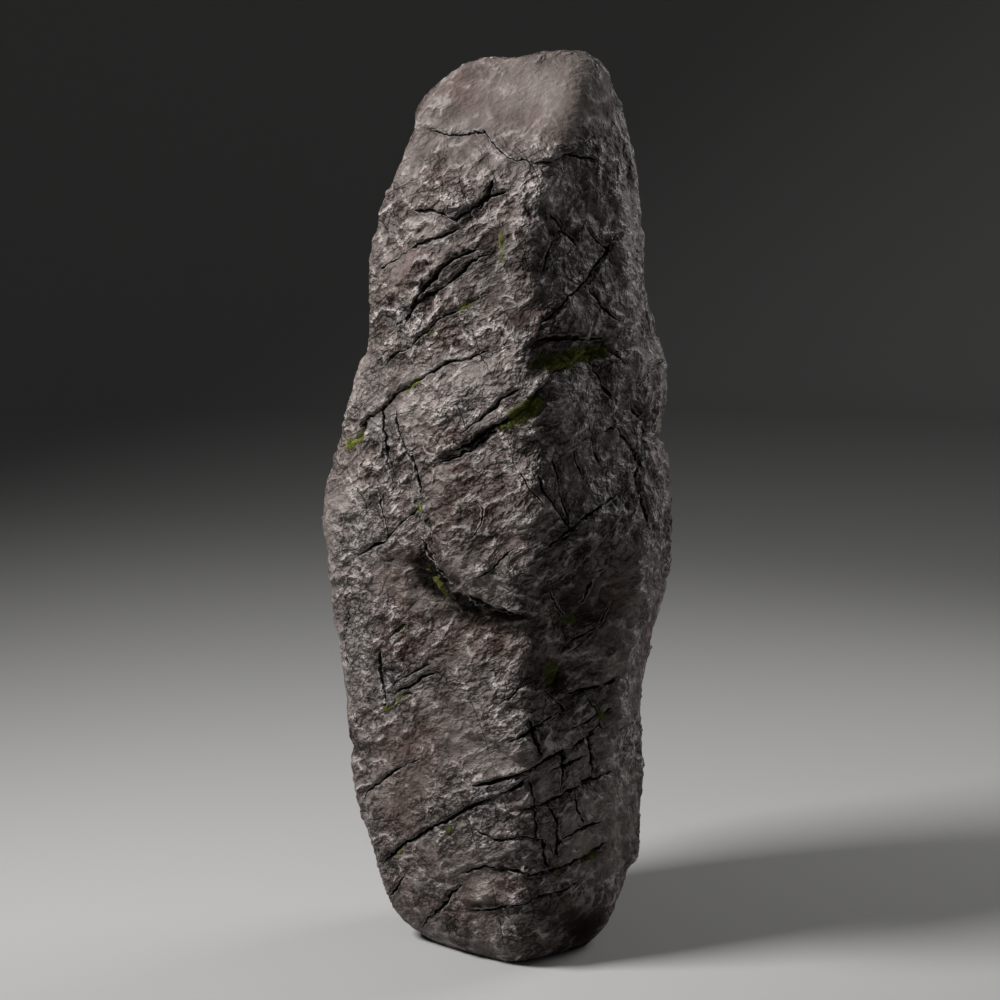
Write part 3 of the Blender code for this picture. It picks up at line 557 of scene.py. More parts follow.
# The front's cracks and ledges, from the crown to the foot.
BREAKS: dict[str, Break] = {
    "crown_ledge": Break(
        (
            (418, 122), (445, 131), (485, 129), (497, 146), (510, 155), (537, 161), (554, 159), (571, 148),
            (587, 137), (603, 125),
        ),
        0.0045, 2.0, 0.009, 40, crack_shade=0.6,
    ),
    "crown_flake": Break(((568, 150), (580, 154), (592, 158)), 0.008, 2.6, 0.005, 12),
    "shoulder_crease": Break(((455, 219), (471, 206), (488, 193), (494, 177)), 0.008, 2.6, 0.007, 30),
    "shoulder_crease_below": Break(((478, 206), (492, 193), (508, 186)), 0.007, 2.2, 0.003, 14),
    "shoulder_chip": Break(((414, 208), (430, 209), (447, 214), (460, 219)), 0.006, 2.4, 0.003, 14),
    "rib_crease": Break(
        ((403, 324), (422, 290), (445, 265), (462, 253), (479, 247)),
        0.009, 3.0, 0.005, 24,
    ),
    "rib_crease_low": Break(
        ((395, 326), (412, 308), (432, 290), (452, 278), (470, 262), (492, 250)),
        0.008, 2.4, 0.004, 18,
    ),
    "rib_crease_high": Break(
        ((380, 268), (398, 256), (416, 243), (440, 234), (462, 226)),
        0.006, 2.6, 0.003, 16,
    ),
    "upper_cross": Break(
        ((539, 323), (556, 308), (575, 290), (589, 275), (606, 248), (624, 226)),
        0.010, 2.6,
    ),
    "brow_cross": Break(((549, 210), (562, 228), (577, 244)), 0.008, 2.2),
    "brow_cross_left": Break(((542, 270), (548, 250), (559, 229)), 0.006, 2.0),
    "brow_cross_right": Break(((587, 226), (596, 237), (606, 247), (612, 262)), 0.006, 2.0),
    "brow_cross_low": Break(((589, 287), (598, 296), (605, 306), (617, 318)), 0.006, 2.2),
    "upper_seam": Break(
        ((378, 368), (405, 347), (428, 328), (437, 318), (461, 304), (487, 292), (503, 286)),
        0.010, 2.0, 0.003, 24, moss=0.3,
    ),
    "middle_seam": Break(
        ((345, 446), (362, 434), (364, 419), (386, 406), (396, 391), (409, 383), (424, 375), (440, 366)),
        0.009, 2.0, 0.004, 22, moss=0.35,
    ),
    "lens_top": Break(((424, 375), (447, 361), (470, 356), (492, 348)), 0.007, 2.1, 0.002, 16),
    "mossy_seam": Break(
        (
            (454, 449), (472, 439), (492, 426), (510, 416), (530, 401), (541, 386), (553, 370), (576, 355),
            (606, 341),
        ),
        0.013, 2.3, 0.010, 40, moss=0.15,
    ),
    "mossy_seam_beside": Break(
        ((462, 430), (480, 420), (494, 408), (503, 396), (520, 388)),
        0.007, 2.4, 0.004, 16,
    ),
    "niche_roof": Break(
        ((534, 340), (548, 336), (566, 335), (584, 337), (602, 336)),
        0.010, 3.4, 0.010, 26, moss=0.2, crack_shade=1.4,
    ),
    "niche_right": Break(((589, 358), (597, 372), (604, 387), (612, 399)), 0.008, 2.2),
    "right_tick": Break(((606, 347), (614, 352), (622, 359)), 0.006, 2.0),
    "left_seam": Break(
        ((343, 568), (353, 558), (373, 545), (389, 535), (406, 515), (421, 506)),
        0.008, 2.0, 0.002, 20,
    ),
    "left_joint_a": Break(((383, 410), (386, 430), (387, 452)), 0.008, 2.1),
    "left_joint_b": Break(((397, 411), (399, 426), (404, 446), (412, 461)), 0.008, 2.1),
    "left_joint_c": Break(((411, 440), (413, 458), (418, 475), (423, 492)), 0.007, 2.0, moss=0.3),
    "left_joint_d": Break(((378, 484), (380, 500), (385, 518), (388, 532)), 0.007, 2.1),
    "left_joint_e": Break(((386, 452), (389, 470), (394, 482)), 0.006, 2.1),
    "right_joint_a": Break(((584, 405), (588, 420), (593, 440), (599, 464)), 0.008, 1.9),
    "right_joint_b": Break(((536, 471), (543, 487), (552, 503), (562, 518), (569, 530)), 0.009, 2.1),
    "right_joint_c": Break(((553, 458), (558, 478), (562, 500), (566, 522)), 0.008, 2.1),
    "right_joint_d": Break(((574, 450), (577, 460), (583, 473)), 0.007, 2.1),
    "right_joint_e": Break(((522, 470), (530, 486), (541, 500)), 0.006, 2.1),
    "arch_lip": Break(
        ((601, 431), (608, 426), (617, 425), (622, 431), (628, 444), (632, 459)),
        0.006, 2.0, 0.004, 12,
    ),
    "rim_crack": Break(
        ((534, 556), (548, 543), (568, 526), (596, 505), (613, 494), (627, 485)),
        0.007, 2.2, 0.002, 14,
    ),
    "chin_left": Break(((421, 505), (425, 516), (432, 533), (440, 548)), 0.006, 1.8, 0.010, 26, moss=0.3),
    "lens_shadow": Break(((440, 462), (458, 455), (480, 440), (498, 428)), 0.006, 2.6, crack_shade=0.7),
    # Painted shadow: its crack is drawn extra dark below the chin's rim.
    "chin_rim": Break(
        ((420, 536), (432, 556), (447, 575), (464, 590), (486, 601), (508, 608), (532, 611)),
        0.010, 4.0, 0.016, 42, moss=0.2, crack_shade=1.6,
    ),
    "chin_rim_right": Break(
        ((530, 607), (553, 583), (585, 555), (614, 522), (626, 496)),
        0.002, 5, 0.020, 45,
    ),
    "chin_scar": Break(((482, 573), (494, 565), (506, 554), (516, 543)), 0.007, 2.1, 0.003, 12),
    "chin_scar_high": Break(((478, 500), (485, 508), (482, 520), (474, 534)), 0.006, 2.1, 0.002, 12),
    "right_recess": Break(
        ((652, 530), (642, 500), (635, 474), (641, 452), (639, 425), (630, 398)),
        0.012, 3.0, moss=0.15,
    ),
    "right_notch": Break(((640, 384), (648, 374), (656, 368), (664, 358)), 0.008, 2.6),
    "under_chin_a": Break(((549, 588), (555, 601), (562, 614)), 0.006, 2.0),
    "under_chin_b": Break(((576, 604), (590, 586), (604, 566)), 0.006, 2.1),
    "under_chin_c": Break(
        ((560, 651), (573, 640), (588, 632), (601, 621), (614, 595)),
        0.008, 2.4, 0.003, 12, moss=0.3,
    ),
    "pit_seam": Break(((498, 704), (508, 698), (526, 681), (536, 676)), 0.007, 2.2),
    "pit_seam_right": Break(
        ((570, 692), (582, 690), (592, 687), (606, 683), (618, 677)),
        0.010, 3.6, 0.004, 12,
    ),
    "star_a": Break(((572, 728), (585, 722), (598, 714), (612, 708)), 0.010, 3.2, moss=0.25),
    "star_b": Break(((590, 700), (597, 712), (603, 728)), 0.009, 3.0, moss=0.2),
    "left_notch": Break(((348, 663), (343, 640), (348, 611)), 0.009, 2.2, -0.005, 12),
    "left_upright": Break(((378, 651), (380, 668), (382, 688), (385, 706)), 0.009, 2.1, moss=0.15),
    "left_tick": Break(((389, 638), (396, 631), (404, 625)), 0.008, 2.1, moss=0.5),
    "left_tick_low": Break(((386, 708), (396, 699), (410, 692)), 0.006, 2.0, moss=0.45),
    "furrow_a": Break(((392, 683), (404, 675), (419, 669), (430, 665)), 0.007, 2.4, 0.003, 10),
    "furrow_b": Break(((394, 691), (408, 685), (424, 676), (437, 671)), 0.006, 2.2, 0.003, 10),
    "low_left_seam": Break(
        ((362, 800), (368, 791), (373, 786), (392, 773), (407, 764), (423, 757)), 0.008, 2.0, 0.002, 16,
    ),
    "low_main_seam": Break(
        ((378, 866), (406, 843), (428, 830), (447, 819), (472, 806), (493, 797), (520, 784), (534, 772)),
        0.012, 2.6, 0.004, 20, moss=0.15,
    ),
    "low_main_branch": Break(((440, 826), (452, 817), (464, 811), (490, 799)), 0.007, 2.0, moss=0.3),
    "low_upper_seam": Break(
        ((470, 785), (493, 781), (519, 775), (548, 759), (572, 747), (590, 735), (601, 722)),
        0.010, 2.8, 0.003, 14,
    ),
    "low_right_seam": Break(
        ((512, 809), (526, 807), (540, 804), (555, 798), (584, 783), (612, 772)), 0.012, 3.2, 0.003, 16,
    ),
    "low_joint_a": Break(((531, 779), (533, 800), (537, 822), (534, 838)), 0.009, 2.8),
    "low_joint_b": Break(((549, 802), (557, 823), (557, 853)), 0.010, 3.0),
    "low_joint_c": Break(((576, 790), (578, 805), (583, 820)), 0.009, 2.8),
    "low_joint_d": Break(((590, 738), (592, 750), (593, 765), (592, 778)), 0.009, 2.8),
    "low_joint_e": Break(((530, 721), (535, 736), (539, 751)), 0.008, 2.6),
    "low_joint_f": Break(((542, 838), (544, 850), (546, 864)), 0.008, 2.4),
    "low_joint_h": Break(((562, 750), (563, 768), (561, 788)), 0.008, 2.4),
    "star_c": Break(((545, 691), (556, 701), (566, 710)), 0.008, 2.6, moss=0.15),
    "low_cross_a": Break(((505, 742), (524, 734), (543, 722), (560, 712)), 0.007, 2.2),
    "low_cross_b": Break(((546, 774), (566, 764), (586, 756)), 0.007, 2.0),
    "low_cross_c": Break(((560, 838), (578, 829), (598, 822)), 0.007, 2.2),
    "low_lip": Break(((473, 829), (484, 834), (497, 839), (523, 836), (545, 838)), 0.006, 2.0, 0.004, 12),
    "foot_seam_left": Break(((460, 872), (483, 867), (506, 868), (528, 873)), 0.008, 2.1, 0.002, 12),
    "foot_seam": Break(
        ((526, 875), (548, 871), (567, 864), (587, 855), (607, 841)), 0.013, 3.0, 0.004, 18, moss=0.35,
    ),
    "foot_crease": Break(
        ((421, 927), (430, 917), (440, 908), (452, 894), (464, 884)),
        0.010, 2.4, 0.003, 14,
    ),
    "foot_ledge": Break(
        ((464, 911), (498, 908), (526, 903), (560, 891), (586, 878)), 0.007, 2.2, 0.004, 16, moss=0.1,
    ),
    "foot_corner": Break(((390, 896), (396, 888), (404, 876)), 0.007, 2.0, 0.003, 12, moss=0.15),
}

# Where moss grows beside the cracks, and how thickly.
MOSS_PATCHES: dict[str, Swell] = {
    "niche": Swell((572, 354), (40, 10), 14, 1.0),
    "mossy_seam_shelf": Swell((524, 410), (27, 8), 36, 1.0),
    "upper_stain": Swell((503, 245), (4, 22), 0, 0.55),
    "upper_seam_knot": Swell((432, 332), (6, 12), 0, 0.6),
    "upper_seam_hill": Swell((470, 300), (20, 3), 30, 0.5),
    "middle_knot": Swell((408, 384), (12, 4), 30, 0.6),
    "left_knot": Swell((355, 440), (13, 4), 36, 0.85),
    "socket": Swell((421, 507), (5, 6), 0, 0.9),
    "chin_left": Swell((440, 582), (24, 9), -48, 0.36),
    "under_chin": Swell((566, 620), (16, 12), 20, 0.45),
    "pit": Swell((549, 674), (13, 12), 0, 0.75),
    "star": Swell((598, 716), (9, 9), 0, 0.35),
    "left_low_knot": Swell((388, 706), (6, 4), 20, 0.55),
    "recess": Swell((638, 488), (4, 10), 0, 0.35),
    "low_seam_side": Swell((455, 826), (16, 8), 25, 0.3),
    "low_corner": Swell((404, 850), (10, 7), 40, 0.25),
}

# Where the rock is darker, and how much: dirt and algae, and painted shade under the chin, the lens and the
# shoulder, in the niche and on faces turned from the light.
STAINS_AND_SHADE: dict[str, Swell] = {
    "under_the_chin": Swell((575, 600), (44, 36), 20, 0.65),
    "ribs": Swell((440, 258), (58, 24), 38, 0.40),
    "under_the_lens": Swell((452, 455), (36, 9), 24, 0.6),
    "niche": Swell((560, 326), (46, 26), 20, 0.5),
    "pit": Swell((550, 672), (26, 22), 0, 0.7),
    "star": Swell((600, 715), (20, 18), 0, 0.5),
    "low_corner": Swell((415, 905), (28, 22), 40, 0.35),
    "below_the_chin": Swell((480, 618), (60, 14), -12, 0.7),
    # Painted shadow: the darkest patches lie under the chin's overhanging rim.
    "under_the_rim": Swell((432, 574), (32, 16), -52, 1.25),
    "under_the_rim_middle": Swell((466, 601), (28, 8), -30, 1.3),
    "under_the_rim_right": Swell((508, 614), (32, 7), -8, 1.0),
    "under_the_shoulder": Swell((474, 212), (34, 9), 38, 0.7),
    "chin_face": Swell((476, 515), (46, 52), -15, 0.45),
    "upper_middle": Swell((484, 262), (34, 62), 0, 0.62),
    "upper_corner": Swell((522, 318), (22, 32), 0, 0.6),
    "chin_brow": Swell((470, 468), (44, 16), 8, 0.6),
    "left_knot": Swell((372, 474), (16, 10), 30, 0.5),
    "below_the_rim": Swell((490, 655), (26, 14), 0, 0.4),
    "right_edge": Swell((642, 420), (10, 90), 0, 0.7),
    "foot_right": Swell((580, 925), (44, 34), 0, 0.8),
    "below_the_crown": Swell((472, 150), (34, 34), 0, 0.38),
    "crown_left": Swell((456, 96), (32, 34), 30, 0.2),
}

# Where the rock is red-brown, and how much.
RUSTED: dict[str, Swell] = {
    "belly": Swell((432, 738), (44, 30), 20, 0.9),
    "left_flank": Swell((392, 600), (30, 46), 0, 0.8),
    "left_flank_high": Swell((372, 460), (16, 22), 0, 0.7),
    "chin": Swell((470, 490), (40, 34), 0, 0.9),
    "under_the_chin": Swell((580, 592), (34, 26), 30, 1.0),
    "below_the_chin": Swell((480, 640), (60, 20), 0, 0.8),
    "crown": Swell((486, 96), (40, 18), -10, 0.6),
    "upper_seam": Swell((450, 330), (50, 14), 30, 0.6),
    "ribs": Swell((420, 262), (40, 24), 30, 0.7),
    "foot": Swell((470, 905), (60, 24), 0, 0.7),
    "low_right": Swell((560, 880), (30, 30), 0, 0.6),
}

# Where rain keeps the rock pale and clean, and how much.
WASHED: dict[str, Swell] = {
    "left_flank": Swell((354, 530), (28, 64), 0, 1.0),
    "left_flank_low": Swell((352, 655), (24, 60), -6, 1.0),
    "left_flank_middle": Swell((362, 385), (20, 38), 0, 0.7),
    "left_flank_lowest": Swell((376, 800), (16, 60), -16, 0.5),
    "left_flank_high": Swell((388, 235), (18, 70), 14, 0.45),
    "lens": Swell((446, 396), (70, 20), 24, 0.85),
    "above_the_seam": Swell((400, 340), (40, 20), 30, 0.3),
    "right_panel": Swell((570, 402), (32, 46), 0, 1.0),
    "brow": Swell((542, 186), (26, 30), 0, 1.0),
    "brow_right": Swell((562, 262), (18, 20), 0, 0.5),
    "crown": Swell((530, 86), (56, 30), 0, 0.6),
    "low_middle": Swell((490, 715), (22, 50), 0, 0.5),
    "low_front": Swell((490, 880), (30, 50), 0, 0.3),
    "low_right": Swell((560, 790), (40, 60), 0, 0.35),
    "low_right_edge": Swell((618, 780), (10, 90), 0, 0.4),
}

# Where the rock is crumpled, and how much.
CRUMPLED: dict[str, Swell] = {
    "ribs": Swell((440, 268), (80, 40), 38, 2.2),
    "above_the_lens": Swell((500, 330), (60, 24), 30, 0.8),
    "under_the_lens": Swell((470, 440), (60, 22), 26, 0.9),
    "chin": Swell((480, 540), (50, 60), 0, 0.8),
    "furrows": Swell((405, 685), (44, 28), 30, 1.0),
    "right_ribs": Swell((590, 705), (40, 40), 30, 0.9),
    "low_seams": Swell((520, 800), (90, 36), 22, 0.7),
    "foot": Swell((540, 860), (80, 26), 10, 0.8),
}

# Where it has cleaved smoothly, and how much.
SMOOTH_FACES: dict[str, Swell] = {
    "belly": Swell((446, 730), (50, 44), 20, 0.5),
    "low_left": Swell((400, 750), (34, 50), 20, 0.45),
    "low_middle": Swell((480, 860), (60, 26), 20, 0.4),
    "right_middle": Swell((550, 530), (34, 50), 0, 0.2),
    "crown": Swell((518, 90), (98, 50), 0, 1.6),
    "low_right": Swell((585, 920), (34, 22), 0, 0.9),
}


class RockFace(Enum):
    """The sets of planes that the rock breaks on, each by the way it faces."""

    BEDS = (-0.50, 0.12, 0.86)
    JOINTS = (0.93, 0.26, 0.26)

    @property
    def vector(self) -> Array:
        """The way the set faces."""
        return np.array(self.value)


def summed(swells: dict[str, Swell], drawing: Array) -> Array:
    """The height of all the swells together at each point of the drawing."""
    return sum(swell.height * swell.share(drawing) for swell in swells.values())


@dataclass
class Relief:
    """The rock's height over its loft at each point, and the marks that its finish reads."""

    height: Array
    crack: Array  # how wide the nearest crack is, 0 to 1, which sets its painted black shade
    off_crack: Array  # metres above the nearest crack's line, or below it where less than 0
    moss: Array  # how much moss can grow, 0 to 1
    stain_and_shade: Array  # how dark with dirt and painted shade, 0 to 1
    rusted: Array  # how red-brown, 0 to 1
    washed: Array  # how clean the rain keeps it, 0 to 1
    smooth_face: Array  # how smooth a cleaved face is, 0 to 1


@dataclass(frozen=True)
class DrawnFront:
    """What is drawn on the front: its swells, its breaks and its patches."""

    uneven: Layer = Layer(0.045, 15, 0.5)  # how the depth of a break wanders
    fading: Layer = Layer(0.085, 16, 0.9)  # how a break fades out and comes back
    usual: float = 0.9  # how much of a break there is on the whole
    least: float = 0.3  # how much of it there is where it fades the most
    most: float = 1.15
    groove: float = 0.62  # a carved groove's width by the drawn one
    square: float = 0.0023  # metres across one square of the drawing, at the stone
    usual_width: float = 3.0  # of a crack that is marked as fully open
    dark_to: tuple[float, float] = (5.0, 9.0)  # how far from its line a crack still counts as one
    moss_reach: float = 2.2  # how far moss grows beside a groove, by the groove's width

    def relief(self, points: Array, drawing: Array, front: Array) -> Relief:
        """Carves the front.

        Args:
            points: The points of the loft.
            drawing: Each point's place in the front drawing.
            front: How much each point belongs to the front, 0 to 1.

        Returns:
            The relief of what is drawn alone.
        """
        height, crack, off_crack = (np.zeros(len(points)) for _ in range(3))
        nearest = np.full(len(points), np.inf)
        seen = np.flatnonzero(front > 0)
        height[seen] = summed(SWELLS, drawing[seen])
        marks = {}
        tables = {"moss": MOSS_PATCHES, "stain_and_shade": STAINS_AND_SHADE, "rusted": RUSTED, "washed": WASHED}
        for name, patches in tables.items():
            marks[name] = np.zeros(len(points))
            marks[name][seen] = np.max([p.height * p.share(drawing[seen]) for p in patches.values()], axis=0)
        moss = marks["moss"]
        uneven = 1 + self.uneven.smooth(points[seen])
        fading = np.clip(self.usual + self.fading.smooth(points[seen]), self.least, self.most)
        for cleft in BREAKS.values():
            near = cleft.near(drawing[seen])
            picked, wide = seen[near], self.groove * cleft.width * uneven[near]
            best, above, amount = cleft.lie(drawing[picked])
            amount *= fading[near]
            height[picked] += amount * cleft.profile(best, above, wide, uneven[near])
            opened = amount * cleft.crack_shade * cleft.width / self.usual_width
            opened = opened * (1 - smooth_step(best, *self.dark_to))
            closer = best < nearest[picked]
            nearest[picked] = np.where(closer, best, nearest[picked])
            crack[picked] = np.where(closer, opened, crack[picked])
            off_crack[picked] = np.where(closer, self.square * np.sign(above) * best, off_crack[picked])
            grown = cleft.moss * amount * np.exp(-((best / (self.moss_reach * wide)) ** 2))
            moss[picked] = np.maximum(moss[picked], grown)
        marks["smooth_face"] = np.minimum(summed(SMOOTH_FACES, drawing), 1)
        marks = {name: share * front for name, share in marks.items()}
        return Relief(height * front, crack * front, off_crack, **marks)


@dataclass(frozen=True)
class Partings:
    """One set of bent planes that the rock parts on."""

    face: RockFace
    spacing: float  # metres
    bends: tuple[Layer, ...]

    def places(self, points: Array) -> Array:
        """Counts the planes.

        Args:
            points: The points, one row each.

        Returns:
            How many spacings each point lies along the way that the planes face.
        """
        along = points @ self.face.vector
        for bend in self.bends:
            along += bend.smooth(points)
        return along / self.spacing


@dataclass(frozen=True)
class Blocks:
    """The blocks between beds and joints, which stand proud of each other behind the stone."""

    beds: Partings = Partings(RockFace.BEDS, 0.21, (Layer(0.22, 31, 0.016), Layer(0.50, 37, 0.030)))
    joints: Partings = Partings(RockFace.JOINTS, 0.26, (Layer(0.18, 32, 0.014), Layer(0.40, 38, 0.050)))
    joint_seed: int = 33
    proud_seed: int = 34
    jag: Layer = Layer(0.03, 35, 0.004)  # how the edges stray
    open_edges: Patchwork = Patchwork(0.17, 36, -0.20, 0.25)
    proud: float = 0.011  # how far the proudest faces stand out, in metres
    proud_share: float = 0.8  # how much of that is a block's own
    tilt_share: float = 0.9  # how much of it comes from how far up its bed a point lies
    worn_edge: float = 0.022  # how wide the worn edge of a block is
    crack_depth: float = 0.009
    crack_width: float = 0.005
    dark_to: tuple[float, float] = (0.010, 0.020)  # how far from an edge its crack still counts as one

    def relief(self, points: Array) -> tuple[Array, Array, Array]:
        """Splits the rock into its blocks.

        Args:
            points: The points of the loft.

        Returns:
            The height at each point, how open the nearest crack between blocks is, and how far off it
            the point lies.
        """
        bed_place = self.beds.places(points)
        bed = np.floor(bed_place)
        joint_place = self.joints.places(points) + lattice_number(bed[:, None], self.joint_seed) / 256
        joint = np.floor(joint_place)
        up_the_bed, across_the_joint = bed_place - bed, joint_place - joint
        proud = lattice_number(np.stack([bed, joint], axis=-1), self.proud_seed) / 127.5 - 1
        off_bed = (up_the_bed - np.round(up_the_bed)) * self.beds.spacing
        off_joint = (across_the_joint - np.round(across_the_joint)) * self.joints.spacing
        off_edge = np.where(np.abs(off_bed) < np.abs(off_joint), off_bed, off_joint)
        off_edge += self.jag.smooth(points)
        edge = np.abs(off_edge)
        faces = self.proud_share * proud + self.tilt_share * (up_the_bed - 0.5)
        faces = self.proud * smooth_step(edge, 0, self.worn_edge) * faces
        opened = self.open_edges.share(points)
        crack = opened * np.exp(-(np.abs(edge / self.crack_width) ** GROOVE_SIDES))
        return faces - self.crack_depth * crack, opened * (1 - smooth_step(edge, *self.dark_to)), off_edge


@dataclass(frozen=True)
class Carving:
    """All the relief of the rock: what is drawn on its front, its blocks, broken faces and chips."""

    view: FrontView
    drawn: DrawnFront = DrawnFront()
    blocks: Blocks = Blocks()
    front_turn: tuple[float, float] = (0.02, 0.30)  # how squarely the front faces the eye
    back_turn: tuple[float, float] = (0.12, 0.50)  # how far the back is turned away from it
    crown_facet: tuple[float, float] = (60.0, 160.0)  # where it ends, down the front drawing
    big_faces: Layer = Layer(0.17, 21, 0.028)
    small_faces: Layer = Layer(0.075, 23, 0.010)
    swing: Layer = Layer(0.30, 25, 0.010)
    broken_behind: float = 0.8  # how broken the rock is behind
    broken_crown: float = 0.14  # how broken it is on the crown's front
    broken_front: float = 0.24  # how much more broken it is below the crown
    drift: Layer = Layer(0.06, 11, 2.2)  # how far what is drawn strays, in squares of the drawing
    rag: Layer = Layer(0.016, 13, 1.5)  # how far the breaks stray on top of that
    cleaved: float = 0.85  # how much of the carved relief a smooth cleaved face has lost
    stained_behind: Patchwork = Patchwork(0.35, 71, 0.1, 0.5, 0.4)
    rusted_behind: Patchwork = Patchwork(0.28, 75, 0.0, 0.5)
    washed_behind: Patchwork = Patchwork(0.30, 74, 0.1, 0.5, 0.7)
    crumpled_behind: Patchwork = Patchwork(0.25, 73, -0.2, 0.4, 0.7)
    shaded_behind: Patchwork = Patchwork(0.11, 72, 0.15, 0.45)
    moss_behind: float = 0.75  # how much moss the damp cracks there hold
    damp: float = 0.009  # how far from such a crack it grows, in metres
    warp: Layer = Layer(0.05, 41, 0.008)  # how the crumpled rock is bent
    crumple: tuple[Layer, Layer] = (Layer(0.066, 51, 0.0034), Layer(0.036, 52, 0.0018))
    crumple_squeeze: float = 2.3  # how much tighter it is across the beds than along them
    sound: float = 0.30  # how much of the crumple sound rock still has
    wrinkles: Layer = Layer(0.021, 56, 0.0013)
    wrinkle_squeeze: float = 1.5
    chips: Layer = Layer(0.046, 55, 0.0030)
    chip_sharpness: float = 40.0

    def broken(self, points: Array, behind: Array, below_crown: Array) -> Array:
        """Breaks the rock into its larger faces.

        Args:
            points: The points of the loft.
            behind: How much each point belongs to the back, 0 to 1.
            below_crown: How much it is below the crown facet, 0 to 1.

        Returns:
            The height at each point.
        """
        faces = self.big_faces.faceted(points) + self.small_faces.faceted(points)
        faces += self.swing.smooth(points)
        in_front = self.broken_crown + self.broken_front * below_crown
        return faces * (self.broken_behind * behind + (1 - behind) * in_front)

    def squeezed(self, points: Array, amount: float) -> Array:
        """Points spread across the beds, so that a pattern on them runs along the beds."""
        across = points @ RockFace.BEDS.vector
        return points + (amount - 1) * across[:, None] * RockFace.BEDS.vector

    def crumple_and_chip(self, relief: Relief, points: Array, uncleaved: Array, crumpled: Array) -> None:
        """Adds the smaller relief.

        Args:
            relief: The relief that gets it.
            points: The points of the loft.
            uncleaved: How much of it each point has, 0 to 1.
            crumpled: How crumpled the rock is there, 0 being sound.
        """
        warped = points + self.warp.strays(points, 3)
        along_beds = self.squeezed(warped, self.crumple_squeeze)
        wide, narrow = self.crumple
        crumple = wide.ridged(along_beds) + narrow.ridged(along_beds)
        relief.height += uncleaved * (self.sound + (1 - self.sound) * crumpled) * crumple
        relief.height += self.wrinkles.ridged(self.squeezed(warped, self.wrinkle_squeeze), uncleaved)
        relief.height += self.chips.faceted(warped, uncleaved, self.chip_sharpness)

    def relief(self, points: Array, normals: Array) -> Relief:
        """Carves the rock.

        Args:
            points: The points of the loft.
            normals: The loft's outward normal at each.

        Returns:
            The relief.
        """
        facing = self.view.facing(points, normals)
        front = smooth_step(facing, *self.front_turn)
        behind = smooth_step(-facing, *self.back_turn)
        drawing = self.view.drawn(points)
        broken = self.broken(points, behind, smooth_step(drawing[:, 1], *self.crown_facet))
        swollen = broken + front * summed(SWELLS, drawing)
        drawing = self.view.drawn(points + swollen[:, None] * normals)
        drawing += self.drift.strays(points, 2)
        relief = self.drawn.relief(points, drawing + self.rag.strays(points, 2), front)
        LOG.info("carved the breaks")
        block_height, block_crack, off_block = self.blocks.relief(points)
        uncleaved = 1 - self.cleaved * relief.smooth_face
        relief.height += uncleaved * broken + behind * block_height
        relief.off_crack = np.where(behind * block_crack > relief.crack, off_block, relief.off_crack)
        relief.crack = np.maximum(relief.crack, behind * block_crack)
        relief.stain_and_shade = np.maximum(relief.stain_and_shade, self.stained_behind.share(points, 1 - front))
        relief.rusted = np.maximum(relief.rusted, self.rusted_behind.share(points, 1 - front))
        relief.washed = np.maximum(relief.washed, self.washed_behind.share(points, 1 - front))
        damp = np.exp(-((off_block / self.damp) ** 2))
        grown = self.moss_behind * behind * block_crack * damp * self.shaded_behind.share(points)
        relief.moss = np.maximum(relief.moss, grown)
        crumpled = front * summed(CRUMPLED, drawing) + self.crumpled_behind.share(points, 1 - front)
        self.crumple_and_chip(relief, points, uncleaved, crumpled)
        LOG.info("carved the chips")
        return relief


